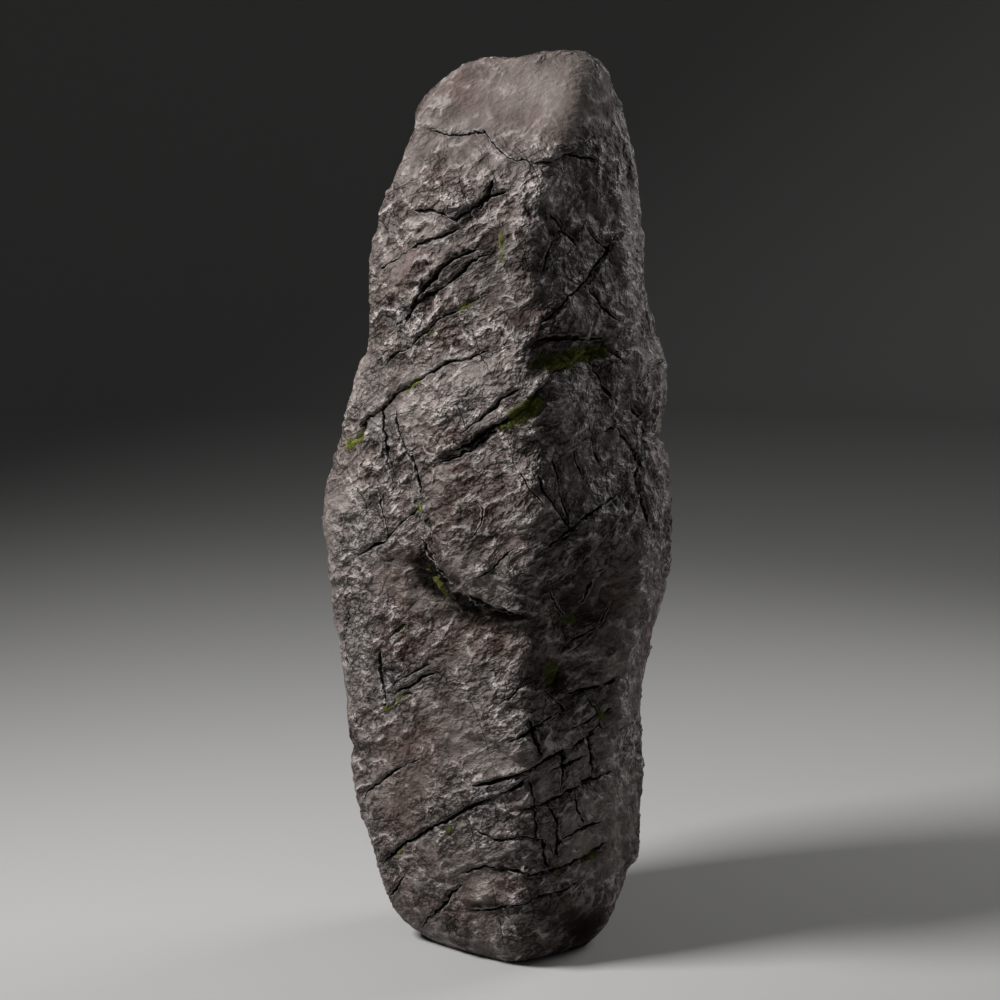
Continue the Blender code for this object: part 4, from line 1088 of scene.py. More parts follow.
@dataclass
class StandingStone:
    """The stone's skin: a loft through the arrises, carved, then reduced to fewer triangles."""

    carving: Carving
    height: float = 2.0
    buried: float = 0.03
    ring_points: int = 840
    ring_spacing: float = 0.0027
    crown_rings: int = 26
    crown_dome: float = 0.008
    saddle: float = 0.016  # how deep the crown's saddle is
    saddle_at: float = 0.010  # its middle, to the right of the stone's
    saddle_width: float = 0.070
    saddle_from: tuple[float, float] = (1.90, 1.99)  # the heights between which it starts
    corner_wear: float = 0.017
    swelling: float = 0.22  # how far the faces swell between their arrises, by a curved one's swell
    grounded: tuple[float, float] = (-0.01, 0.09)  # the heights between which the relief starts
    near_hollow_shade: float = 0.012  # how far round a point its narrow hollows are looked for, for their painted shade
    wide_hollow_shade: float = 0.045
    triangles: int = 196_000

    def arris_line(self, knots: list[Point], heights: Array) -> Array:
        """Draws a smooth line through an arris's knots.

        Args:
            knots: The knots as (z, x, y).
            heights: The heights that are asked for.

        Returns:
            The x and y at each of them.
        """
        z, *plan = np.array(knots).T
        left = np.clip(np.searchsorted(z, heights, side="right") - 1, 0, len(z) - 2)
        span = z[left + 1] - z[left]
        t = (heights - z[left]) / span
        start, end = 2 * t**3 - 3 * t**2 + 1, 3 * t**2 - 2 * t**3
        leave, arrive = t**3 - 2 * t**2 + t, t**3 - t**2
        lines = []
        for values in plan:
            slope = np.gradient(values, z)
            bent = span * (leave * slope[left] + arrive * slope[left + 1])
            lines.append(start * values[left] + end * values[left + 1] + bent)
        return np.stack(lines, axis=-1)

    def ring_radii(self, spokes: Array, angles: Array) -> Array:
        """Draws one level ring through its arrises.

        Args:
            spokes: Each arris's x and y from the ring's middle.
            angles: The angles that are asked for.

        Returns:
            The ring's radius at each of them.
        """
        bearing = np.arctan2(spokes[:, 1], spokes[:, 0])
        order = np.argsort(bearing)
        bearing, radius = bearing[order], np.hypot(*spokes[order].T)
        bearing = np.concatenate([bearing - math.tau, bearing, bearing + math.tau])
        radius = np.tile(radius, 3)
        at = np.searchsorted(bearing, angles, side="right") - 1
        a, b, ra, rb = bearing[at], bearing[at + 1], radius[at], radius[at + 1]
        flat = ra * rb * np.sin(b - a) / (ra * np.sin(angles - a) + rb * np.sin(b - angles))
        turn = np.clip((angles - a) / (b - a), 0, 1)
        curved = ra + (rb - ra) * turn * turn * (3 - 2 * turn)
        bulge = curved - flat
        return flat + self.swelling * (bulge + np.hypot(bulge, 0.02)) / 2

    def loft(self) -> Array:
        """Draws the smooth block.

        Returns:
            Its points, as rings of points from the bottom to the middle of the crown.
        """
        levels = round((self.height + self.buried) / self.ring_spacing) + 1
        heights = np.linspace(-self.buried, self.height, levels)
        corners = np.stack([self.arris_line(knots, heights) for knots in ARRISES.values()], axis=1)
        centres = corners.mean(axis=1)
        angles = np.linspace(-math.pi, math.pi, self.ring_points, endpoint=False)
        radii = np.stack([self.ring_radii(c - m, angles) for c, m in zip(corners, centres)])
        turns = np.arange(self.ring_points // 2 + 1)
        worn = np.exp(-0.5 * (turns * self.corner_wear / radii.mean(axis=1, keepdims=True)) ** 2)
        radii = np.fft.irfft(np.fft.rfft(radii) * worn, self.ring_points)
        inward = 1 - np.arange(1, self.crown_rings) / self.crown_rings
        radii = np.concatenate([radii, radii[-1] * inward[:, None]])
        centres = np.concatenate([centres, np.repeat(centres[-1:], self.crown_rings - 1, axis=0)])
        heights = np.concatenate([heights, self.height + self.crown_dome * (1 - inward**2)])
        spoke = np.stack([np.cos(angles), np.sin(angles)], axis=-1)
        plan = centres[:, None] + radii[..., None] * spoke
        upright = np.broadcast_to(heights[:, None, None], (*plan.shape[:2], 1))
        return np.concatenate([plan, upright], axis=-1)

    def loft_normals(self, rings: Array) -> Array:
        """Finds which way the smooth block faces.

        Args:
            rings: Its points, ring by ring.

        Returns:
            Its outward normal at each of them.
        """
        around = np.roll(rings, -1, axis=1) - np.roll(rings, 1, axis=1)
        normals = np.cross(around, np.gradient(rings, axis=0))
        return normals / np.linalg.norm(normals, axis=-1, keepdims=True)

    def loft_faces(self, ring_count: int) -> list[Array]:
        """Closes the block with faces.

        Args:
            ring_count: How many rings it has.

        Returns:
            The four-sided faces between its rings, then the triangles that fan over each end.
        """
        here = np.arange(self.ring_points)
        after = (here + 1) % self.ring_points
        low = (np.arange(ring_count - 1) * self.ring_points)[:, None]
        high = low + self.ring_points
        quads = np.stack([low + here, low + after, high + after, high + here], axis=-1)
        top = low[-1] + self.ring_points
        middles = np.full_like(here, ring_count * self.ring_points)
        bottom_fan = np.stack([middles, after, here], axis=-1)
        top_fan = np.stack([top + here, top + after, middles + 1], axis=-1)
        return [quads.reshape(-1, 4), np.concatenate([bottom_fan, top_fan])]

    def dense_skin(self) -> bpy.types.Object:
        """Builds the carved block.

        Returns:
            A mesh with every point of the loft, and on its points the marks that the finish reads.
        """
        rings = self.loft()
        normals = self.loft_normals(rings).reshape(-1, 3)
        points = rings.reshape(-1, 3)
        relief = self.carving.relief(points, normals)
        grid = relief.height.reshape(rings.shape[:2])
        marks = {name: values for name, values in vars(relief).items() if name != "height"}
        # Painted shade: how far each point lies below its blurred surroundings, which the finish darkens.
        for name, reach in {"near_hollow_shade": self.near_hollow_shade, "wide_hollow_shade": self.wide_hollow_shade}.items():
            marks[name] = (blurred(grid, reach / self.ring_spacing) - grid).ravel()
        carved = points + (relief.height * smooth_step(points[:, 2], *self.grounded))[:, None] * normals
        saddle = np.exp(-(((carved[:, 0] - self.saddle_at) / self.saddle_width) ** 2))
        carved[:, 2] -= self.saddle * (saddle * smooth_step(carved[:, 2], *self.saddle_from))
        carved[:, 2] *= np.where(carved[:, 2] > 0, self.height / carved[:, 2].max(), 1)
        carved[:, 2] = np.maximum(carved[:, 2], 0)
        end_rings = carved[: self.ring_points], carved[-self.ring_points :]
        middles = np.stack([ring.mean(axis=0) for ring in end_rings])
        dense = mesh_object("dense_skin", np.concatenate([carved, middles]), self.loft_faces(len(rings)))
        for name, values in marks.items():
            set_mark(dense.data, name, np.concatenate([values, np.zeros(len(middles))]))
        LOG.info("built the dense skin, %d points", len(carved))
        return dense

    def skin(self) -> bpy.types.Object:
        """Builds the skin.

        Returns:
            The dense skin, reduced to fewer triangles, which gather at its edges.
        """
        dense = self.dense_skin()
        modifier = dense.modifiers.new("reduce", "DECIMATE")
        modifier.ratio = self.triangles / sum(len(face.vertices) - 2 for face in dense.data.polygons)
        depsgraph = bpy.context.evaluated_depsgraph_get()
        mesh = bpy.data.meshes.new_from_object(dense.evaluated_get(depsgraph), depsgraph=depsgraph)
        bpy.data.objects.remove(dense)
        mesh.shade_smooth()
        stone = bpy.data.objects.new("stone_skin", mesh)
        bpy.context.scene.collection.objects.link(stone)
        LOG.info("reduced the skin to %d faces", len(mesh.polygons))
        return stone


# --------------------------------------------------------------------------------------------
# Finishes
# --------------------------------------------------------------------------------------------

SMOOTH = {"interpolation_type": "SMOOTHSTEP"}

@dataclass(frozen=True)
class Crests:
    """One size of the broken relief that is too fine for the mesh: sharp crests round worn hollows."""

    size: float  # between the main crests, in metres
    height: float  # in metres
    squeeze: float  # how much tighter it is across the beds than along them
    detail: float  # how many times the crests repeat at half the size
    roughness: float  # how much of their height each time keeps


@dataclass(frozen=True)
class Creases:
    """One size of rounded lumps with sharp creases between them, too fine for the mesh."""

    size: float  # of a lump, in metres
    height: float  # in metres
    squeeze: float  # how much tighter it is across the beds than along them
    detail: float  # how many times the lumps repeat at half the size


@dataclass(frozen=True)
class Hairlines:
    """One set of closed cracks, too fine for the mesh."""

    face: RockFace
    spacing: float  # metres
    width: float  # half the width of a crack, in metres
    bends: float = 0.35  # how many times a crack bends within its spacing
    patches: float = 0.5  # how many patches with cracks there are within that
    starts: float = 0.52  # the noise where such a patch starts
    full: float = 0.60
    apart: float = 90.0  # how many spacings its patterns are moved by, so that no two sets are alike


class RockColour(Enum):
    """The colours of the rock, of what lies on it, and of its painted shade and highlights."""

    BODY = "#554A45"
    PALE = "#736863"
    WASHED = "#928883"
    RUST = "#59453F"
    BLUE_GREY = "#5F646A"
    DIRT_AND_SHADE = "#110E0B"
    STAIN_AND_SHADE = "#1F1611"
    CREST_HIGHLIGHT = "#BCB2AD"
    MOSS = "#434A14"


@dataclass(frozen=True)
class Mottle:
    """A soft pattern in the rock's own colour."""

    name: str
    size: float  # of a patch, in metres
    detail: float  # how many times it repeats at half the size
    roughness: float = 0.5  # how much each time keeps
    bent: bool = True  # whether it follows the bends of the creases


@dataclass(frozen=True)
class Coat:
    """One colour that lies over those before it, where a pattern or a mark calls for it."""

    where: str  # the pattern or the mark
    starts: float  # what that is where the colour starts
    full: float  # what it is where there is most of the colour
    most: float  # how much that is, 0 to 1
    colour: RockColour
    rough_only: bool = False  # whether it goes with the strength of the relief


@dataclass(frozen=True)
class WeatheredQuartzite:
    """Quartzite, split along its beds and weathered for centuries in the open.

    Its grains are welded, so it breaks in hard crumpled faces. The worn crests are clean, glint and are
    painted paler as a highlight, and the creases, hollows and cracks are painted dark as shade, so that
    the grey-brown rock reads as sharp and old.
    """

    bend_size: float = 0.07  # of the bends that the creases follow, in metres
    bend: float = 0.018
    crests: tuple[Crests, ...] = (
        Crests(0.080, 0.0062, 1.5, 5.0, 0.68),
        Crests(0.030, 0.0026, 1.2, 3.0, 0.62),
    )
    creases: tuple[Creases, ...] = (
        Creases(0.030, 0.0085, 1.5, 4.0),
        Creases(0.012, 0.0032, 1.1, 3.0),
    )
    low_relief: float = 0.0030  # below this lies the crests' lowest tenth, in metres
    high_relief: float = 0.0125
    hairlines: tuple[Hairlines, ...] = (
        Hairlines(RockFace.BEDS, 0.062, 0.0014),
        Hairlines(RockFace.JOINTS, 0.070, 0.0012),
    )
    hairline_depth: float = 0.0030
    crack_width: float = 0.0034  # half the width of the widest crack, in metres
    crack_depth: float = 0.0060
    jags: tuple[tuple[float, float], ...] = ((0.011, 0.0050), (0.030, 0.0080))  # their sizes and reach
    rag_size: float = 0.02  # of the stretches where a crack is wider or narrower, in metres
    lip: float = 0.0009  # how far a crack's lips are raised
    lip_width: float = 0.0020
    lip_off: float = 0.0016  # how far from the crack a lip is
    shade_width: float = 0.012  # of the shade beside a crack
    grain_size: float = 0.005
    grain_height: float = 0.0010
    patch_size: float = 0.18  # of the rougher and the smoother patches, in metres
    mottles: tuple[Mottle, ...] = (
        Mottle("mottle", 0.05, 6, 0.6, bent=False),
        Mottle("rusty", 0.13, 4),
        Mottle("bluish", 0.19, 3),
    )
    rust_gain: float = 0.20  # how much a rusted mark adds to the rusty mottle
    moss_gain: float = 0.9  # how much the mottle adds to the moss mark
    matt_gain: float = 0.3  # how much rougher stained and cleaved rock is
    ior: float = 1.54
    coats: tuple[Coat, ...] = (
        Coat("mottle", 0.4, 0.7, 0.8, RockColour.PALE),  # paler grains lie between the darker ones
        Coat("rusty", 0.50, 0.72, 0.75, RockColour.RUST),  # iron has turned some of it red-brown
        Coat("bluish", 0.60, 0.75, 0.35, RockColour.BLUE_GREY),  # and some is blue-grey
        Coat("washed", 0.0, 1.0, 0.7, RockColour.WASHED),  # rain keeps open faces pale
        Coat("off_crease", 0.045, 0.0, 0.70, RockColour.DIRT_AND_SHADE, rough_only=True),  # painted shade darkens the creases
        Coat("off_crease", 0.10, 0.22, 0.30, RockColour.CREST_HIGHLIGHT),  # and the lumps are painted paler on top, as a highlight
        Coat("relief", 0.0080, 0.0125, 0.68, RockColour.CREST_HIGHLIGHT, rough_only=True),  # knocked crests are worn palest, and painted pale as a highlight
        Coat("relief", 0.0066, 0.0030, 0.42, RockColour.DIRT_AND_SHADE, rough_only=True),  # and hollows get painted shade
        Coat("stain_and_shade", 0.0, 1.0, 0.9, RockColour.STAIN_AND_SHADE),  # dirt and painted shade under overhangs darken it brown
        Coat("stain_and_shade", 0.5, 0.9, 0.9, RockColour.DIRT_AND_SHADE),  # and nearly black where the painted shadow is deepest
        Coat("wide_hollow_shade", 0.003, 0.020, 0.55, RockColour.DIRT_AND_SHADE),  # painted shade darkens the wide hollows
        Coat("near_hollow_shade", 0.0012, 0.0060, 0.75, RockColour.DIRT_AND_SHADE),  # and the narrow ones
        Coat("shade", 0.0, 1.0, 0.45, RockColour.DIRT_AND_SHADE),  # painted shade lies beside a crack
        Coat("lip", 0.2, 1.0, 0.30, RockColour.CREST_HIGHLIGHT),  # whose lips are painted pale as a highlight
        Coat("hairline", 0.1, 0.9, 0.8, RockColour.DIRT_AND_SHADE),  # closed cracks are thin dark lines
        Coat("crack", 0.0, 0.6, 0.95, RockColour.DIRT_AND_SHADE),  # and open ones are black with painted shade
        Coat("growth", 0.80, 1.10, 0.95, RockColour.MOSS),  # a green film reaches out from the moss
    )

    def bent(self, tree: NodeTree, place: Socket) -> Socket:
        """Bends the place that patterns are read from, because the creases follow each other round bends.

        Args:
            tree: The material's nodes.
            place: The place.

        Returns:
            The bent place.
        """
        add = partial(add_node, tree)
        bend = add("ShaderNodeTexNoise", {"Vector": place, "Scale": 1 / self.bend_size, "Detail": 2}, "Color")
        bend = add("ShaderNodeVectorMath", {0: bend, 1: (0.5, 0.5, 0.5)}, operation="SUBTRACT")
        bend = add("ShaderNodeVectorMath", {0: bend, "Scale": self.bend}, operation="SCALE")
        return add("ShaderNodeVectorMath", {0: place, 1: bend}, operation="ADD")

    def squeezed(self, tree: NodeTree, bent: Socket, amount: float) -> Socket:
        """Squeezes a place across the beds, so that a pattern read there runs along them.

        Args:
            tree: The material's nodes.
            bent: The place that patterns are read from.
            amount: How much tighter the pattern is to be across the beds.

        Returns:
            The squeezed place.
        """
        add = partial(add_node, tree)
        beds = RockFace.BEDS.value
        across = add("ShaderNodeVectorMath", {0: bent, 1: beds}, "Value", operation="DOT_PRODUCT")
        push = add("ShaderNodeMath", {0: across, 1: amount - 1}, operation="MULTIPLY")
        push = add("ShaderNodeVectorMath", {0: beds, "Scale": push}, operation="SCALE")
        return add("ShaderNodeVectorMath", {0: bent, 1: push}, operation="ADD")

    def crested(self, tree: NodeTree, bent: Socket) -> Socket:
        """The height of the crests.

        Args:
            tree: The material's nodes.
            bent: The place that patterns are read from.

        Returns:
            The height in metres.
        """
        add = partial(add_node, tree)
        ridged = {"noise_type": "RIDGED_MULTIFRACTAL", "normalize": False}
        height: Socket | float = 0.0
        for crests in self.crests:
            place = self.squeezed(tree, bent, crests.squeeze)
            look = {"Detail": crests.detail, "Roughness": crests.roughness, "Lacunarity": 2.1}
            shape = {"Vector": place, "Scale": 1 / crests.size, "Offset": 0.85, "Gain": 1.6}
            crest = add("ShaderNodeTexNoise", {**shape, **look}, **ridged)
            height = add("ShaderNodeMath", {0: crest, 1: crests.height, 2: height}, operation="MULTIPLY_ADD")
        return height

    def creased(self, tree: NodeTree, bent: Socket) -> tuple[Socket, Socket]:
        """The lumps between the creases.

        Args:
            tree: The material's nodes.
            bent: The place that patterns are read from.

        Returns:
            Their height in metres, then how far a point is from a crease, 0 in one.
        """
        add = partial(add_node, tree)
        height: Socket | float = 0.0
        off_crease: Socket | float = 1.0
        for creases in self.creases:
            place = self.squeezed(tree, bent, creases.squeeze)
            shape = {"Vector": place, "Scale": 0.5 / creases.size, "Detail": creases.detail}
            fold = add("ShaderNodeMath", {0: add("ShaderNodeTexNoise", shape), 1: 0.5}, operation="SUBTRACT")
            fold = add("ShaderNodeMath", {0: fold}, operation="ABSOLUTE")
            off_crease = add("ShaderNodeMath", {0: off_crease, 1: fold}, operation="MINIMUM")
            lumps = {0: fold, 1: 6 * creases.height, 2: height}
            height = add("ShaderNodeMath", lumps, operation="MULTIPLY_ADD")
        return height, off_crease

    def hairline(self, tree: NodeTree, bent: Socket) -> Socket:
        """The closed cracks that run along the beds and the joints.

        Args:
            tree: The material's nodes.
            bent: The place that patterns are read from.

        Returns:
            1 in a crack and 0 beside it.
        """
        add = partial(add_node, tree)
        hairline: Socket | float = 0.0
        for lines in self.hairlines:
            often = 1 / lines.spacing
            moved = {0: bent, 1: (lines.spacing * lines.apart, 0, 0)}
            moved = add("ShaderNodeVectorMath", moved, operation="ADD")
            stray = add("ShaderNodeTexNoise", {"Vector": moved, "Scale": lines.bends * often, "Detail": 4})
            patch = add("ShaderNodeTexNoise", {"Vector": moved, "Scale": lines.patches * often, "Detail": 1})
            facing = {0: bent, 1: lines.face.value}
            across = add("ShaderNodeVectorMath", facing, "Value", operation="DOT_PRODUCT")
            across = add("ShaderNodeMath", {0: across, 1: often, 2: stray}, operation="MULTIPLY_ADD")
            off_plane = add("ShaderNodeMath", {0: across, 1: 0.5}, operation="PINGPONG")
            thin = {"Value": off_plane, "From Min": lines.width * often, "From Max": 0.0}
            present = {"Value": patch, "From Min": lines.starts, "From Max": lines.full}
            line, here = (add("ShaderNodeMapRange", shape, **SMOOTH) for shape in (thin, present))
            line = add("ShaderNodeMath", {0: line, 1: here}, operation="MULTIPLY")
            hairline = add("ShaderNodeMath", {0: line, 1: hairline}, operation="MAXIMUM")
        return hairline

    def crack(self, tree: NodeTree, place: Socket) -> dict[str, Socket]:
        """The open cracks, drawn finer than the mesh from what the carving stored.

        Args:
            tree: The material's nodes.
            place: The place that patterns are read from.

        Returns:
            The patterns by name: 1 in a crack, on its lips and in the shade beside it, and 0 elsewhere.
        """
        add = partial(add_node, tree)
        wide = add("ShaderNodeAttribute", {}, "Fac", attribute_name="crack")
        off_line = add("ShaderNodeAttribute", {}, "Fac", attribute_name="off_crack")
        for size, reach in self.jags:
            jag = add("ShaderNodeTexNoise", {"Vector": place, "Scale": 1 / size, "Detail": 2})
            jag = add("ShaderNodeMath", {0: jag, 1: 0.5}, operation="SUBTRACT")
            off_line = add("ShaderNodeMath", {0: jag, 1: reach, 2: off_line}, operation="MULTIPLY_ADD")
        off_line = add("ShaderNodeMath", {0: off_line}, operation="ABSOLUTE")
        ragged = add("ShaderNodeTexNoise", {"Vector": place, "Scale": 1 / self.rag_size, "Detail": 2})
        wider = {"Value": ragged, "From Min": 0.3, "From Max": 0.7, "To Min": 0.4, "To Max": 1.6}
        half = add("ShaderNodeMath", {0: wide, 1: self.crack_width}, operation="MULTIPLY")
        half = add("ShaderNodeMath", {0: half, 1: add("ShaderNodeMapRange", wider)}, operation="MULTIPLY")
        inside = {"Value": off_line, "From Min": half, "From Max": 0.0}
        patterns = {"crack": add("ShaderNodeMapRange", inside, **SMOOTH)}
        beyond = add("ShaderNodeMath", {0: off_line, 1: half}, operation="SUBTRACT")
        off_lip = add("ShaderNodeMath", {0: beyond, 1: self.lip_off}, operation="SUBTRACT")
        off_lip = add("ShaderNodeMath", {0: off_lip}, operation="ABSOLUTE")
        there = add("ShaderNodeMapRange", {"Value": wide, "From Min": 0.05, "From Max": 0.35})
        for name, off, width in (("lip", off_lip, self.lip_width), ("shade", beyond, self.shade_width)):
            near = add("ShaderNodeMapRange", {"Value": off, "From Min": width, "From Max": 0.0})
            patterns[name] = add("ShaderNodeMath", {0: near, 1: there}, operation="MULTIPLY")
        return patterns

    def strength(self, tree: NodeTree, place: Socket, smooth_face: Socket) -> Socket:
        """How strong the fine relief is: less on cleaved faces, and in patches.

        Args:
            tree: The material's nodes.
            place: The place that patterns are read from.
            smooth_face: How smooth a cleaved face is.

        Returns:
            1 where the relief is usual.
        """
        add = partial(add_node, tree)
        patches = add("ShaderNodeTexNoise", {"Vector": place, "Scale": 1 / self.patch_size, "Detail": 2})
        cleaved = {"Value": smooth_face, "To Min": 1.0, "To Max": 0.35}
        patchy = {"Value": patches, "From Min": 0.35, "From Max": 0.60, "To Min": 0.4, "To Max": 1.1}
        rough, patchy = (add("ShaderNodeMapRange", shape, **SMOOTH) for shape in (cleaved, patchy))
        return add("ShaderNodeMath", {0: rough, 1: patchy}, operation="MULTIPLY")

    def patterns(self, tree: NodeTree) -> dict[str, Socket]:
        """Lays out what the colour and the fine relief follow.

        Args:
            tree: The material's nodes.

        Returns:
            The rock's patterns and the marks that the carving left, by name.
        """
        add = partial(add_node, tree)
        names = ("moss", "stain_and_shade", "rusted", "washed", "smooth_face", "near_hollow_shade", "wide_hollow_shade")
        found = {name: add("ShaderNodeAttribute", {}, "Fac", attribute_name=name) for name in names}
        place = add("ShaderNodeTexCoord", {}, "Object")
        bent = self.bent(tree, place)
        found["relief"] = self.crested(tree, bent)
        found["crumple"], found["off_crease"] = self.creased(tree, bent)
        found["strength"] = self.strength(tree, place, found["smooth_face"])
        hairline = self.hairline(tree, bent)
        found["hairline"] = add("ShaderNodeMath", {0: hairline, 1: found["strength"]}, operation="MULTIPLY")
        found.update(self.crack(tree, place))
        grain = {"Vector": place, "Scale": 1 / self.grain_size, "Detail": 3}
        found["grain"] = add("ShaderNodeTexNoise", grain)
        for mottle in self.mottles:
            look = {"Scale": 1 / mottle.size, "Detail": mottle.detail, "Roughness": mottle.roughness}
            found[mottle.name] = add("ShaderNodeTexNoise", {"Vector": bent if mottle.bent else place, **look})
        rusty = {0: found["rusted"], 1: self.rust_gain, 2: found["rusty"]}
        found["rusty"] = add("ShaderNodeMath", rusty, operation="MULTIPLY_ADD")
        growth = {0: found["mottle"], 1: self.moss_gain, 2: found["moss"]}
        found["growth"] = add("ShaderNodeMath", growth, operation="MULTIPLY_ADD")
        return found

    def bump(self, tree: NodeTree, patterns: dict[str, Socket]) -> Socket:
        """Turns the fine relief into a normal.

        Args:
            tree: The material's nodes.
            patterns: The rock's patterns and marks.

        Returns:
            The normal of the finished surface.
        """
        add = partial(add_node, tree)
        surface = add("ShaderNodeMath", {0: patterns["relief"], 1: patterns["crumple"]}, operation="ADD")
        surface = add("ShaderNodeMath", {0: surface, 1: patterns["strength"]}, operation="MULTIPLY")
        heights = {
            "hairline": -self.hairline_depth,
            "crack": -self.crack_depth,
            "lip": self.lip,
            "grain": self.grain_height,
        }
        for name, height in heights.items():
            raised = {0: patterns[name], 1: height, 2: surface}
            surface = add("ShaderNodeMath", raised, operation="MULTIPLY_ADD")
        return add("ShaderNodeBump", {"Height": surface, "Distance": 1.0, "Strength": 1.0})

    def colour(self, tree: NodeTree, patterns: dict[str, Socket]) -> Socket:
        """Lays the coats over each other.

        Args:
            tree: The material's nodes.
            patterns: The rock's patterns and marks.

        Returns:
            The rock's colour.
        """
        add = partial(add_node, tree)
        colour: Socket | Colour = linear(RockColour.BODY.value)
        for coat in self.coats:
            share = {"Value": patterns[coat.where], "From Min": coat.starts, "From Max": coat.full}
            share = add("ShaderNodeMapRange", {**share, "To Max": coat.most}, **SMOOTH)
            if coat.rough_only:
                share = add("ShaderNodeMath", {0: share, 1: patterns["strength"]}, operation="MULTIPLY")
            layers = {0: share, 6: colour, 7: linear(coat.colour.value)}
            colour = add("ShaderNodeMix", layers, 2, data_type="RGBA")
        return colour

    def material(self) -> bpy.types.Material:
        """Makes the material, which reads the marks that the carving left on the skin's points.

        Returns:
            The material.
        """
        material, tree, shader = new_material("weathered_quartzite")
        add = partial(add_node, tree)
        patterns = self.patterns(tree)
        colour = self.colour(tree, patterns)
        # Worn crests are the smoothest. Stained rock, rock under painted shade and cleaved rock are matt, as
        # under a film of dirt.
        worn = {"Value": patterns["relief"], "From Min": self.low_relief, "From Max": self.high_relief}
        worn = add("ShaderNodeMapRange", {**worn, "To Min": 0.72, "To Max": 0.42}, **SMOOTH)
        matt = add("ShaderNodeMath", {0: patterns["stain_and_shade"], 1: patterns["smooth_face"]}, operation="MAXIMUM")
        matt = add("ShaderNodeMath", {0: matt, 1: self.matt_gain, 2: worn}, operation="MULTIPLY_ADD")
        # Grime is full of pores and painted shade stands for shadow, so the darkest of the rock shines least.
        light = {"Value": add("ShaderNodeRGBToBW", {"Color": colour}), "From Min": 0.010, "From Max": 0.075}
        shine = add("ShaderNodeMapRange", {**light, "To Min": 0.06, "To Max": 0.5}, **SMOOTH)
        bump = self.bump(tree, patterns)
        looks = {"Base Color": colour, "Normal": bump, "Roughness": matt, "Specular IOR Level": shine}
        for name, socket in looks.items():
            tree.links.new(socket, shader.inputs[name])
        shader.inputs["IOR"].default_value = self.ior
        return material


# --------------------------------------------------------------------------------------------
# The moss
# --------------------------------------------------------------------------------------------


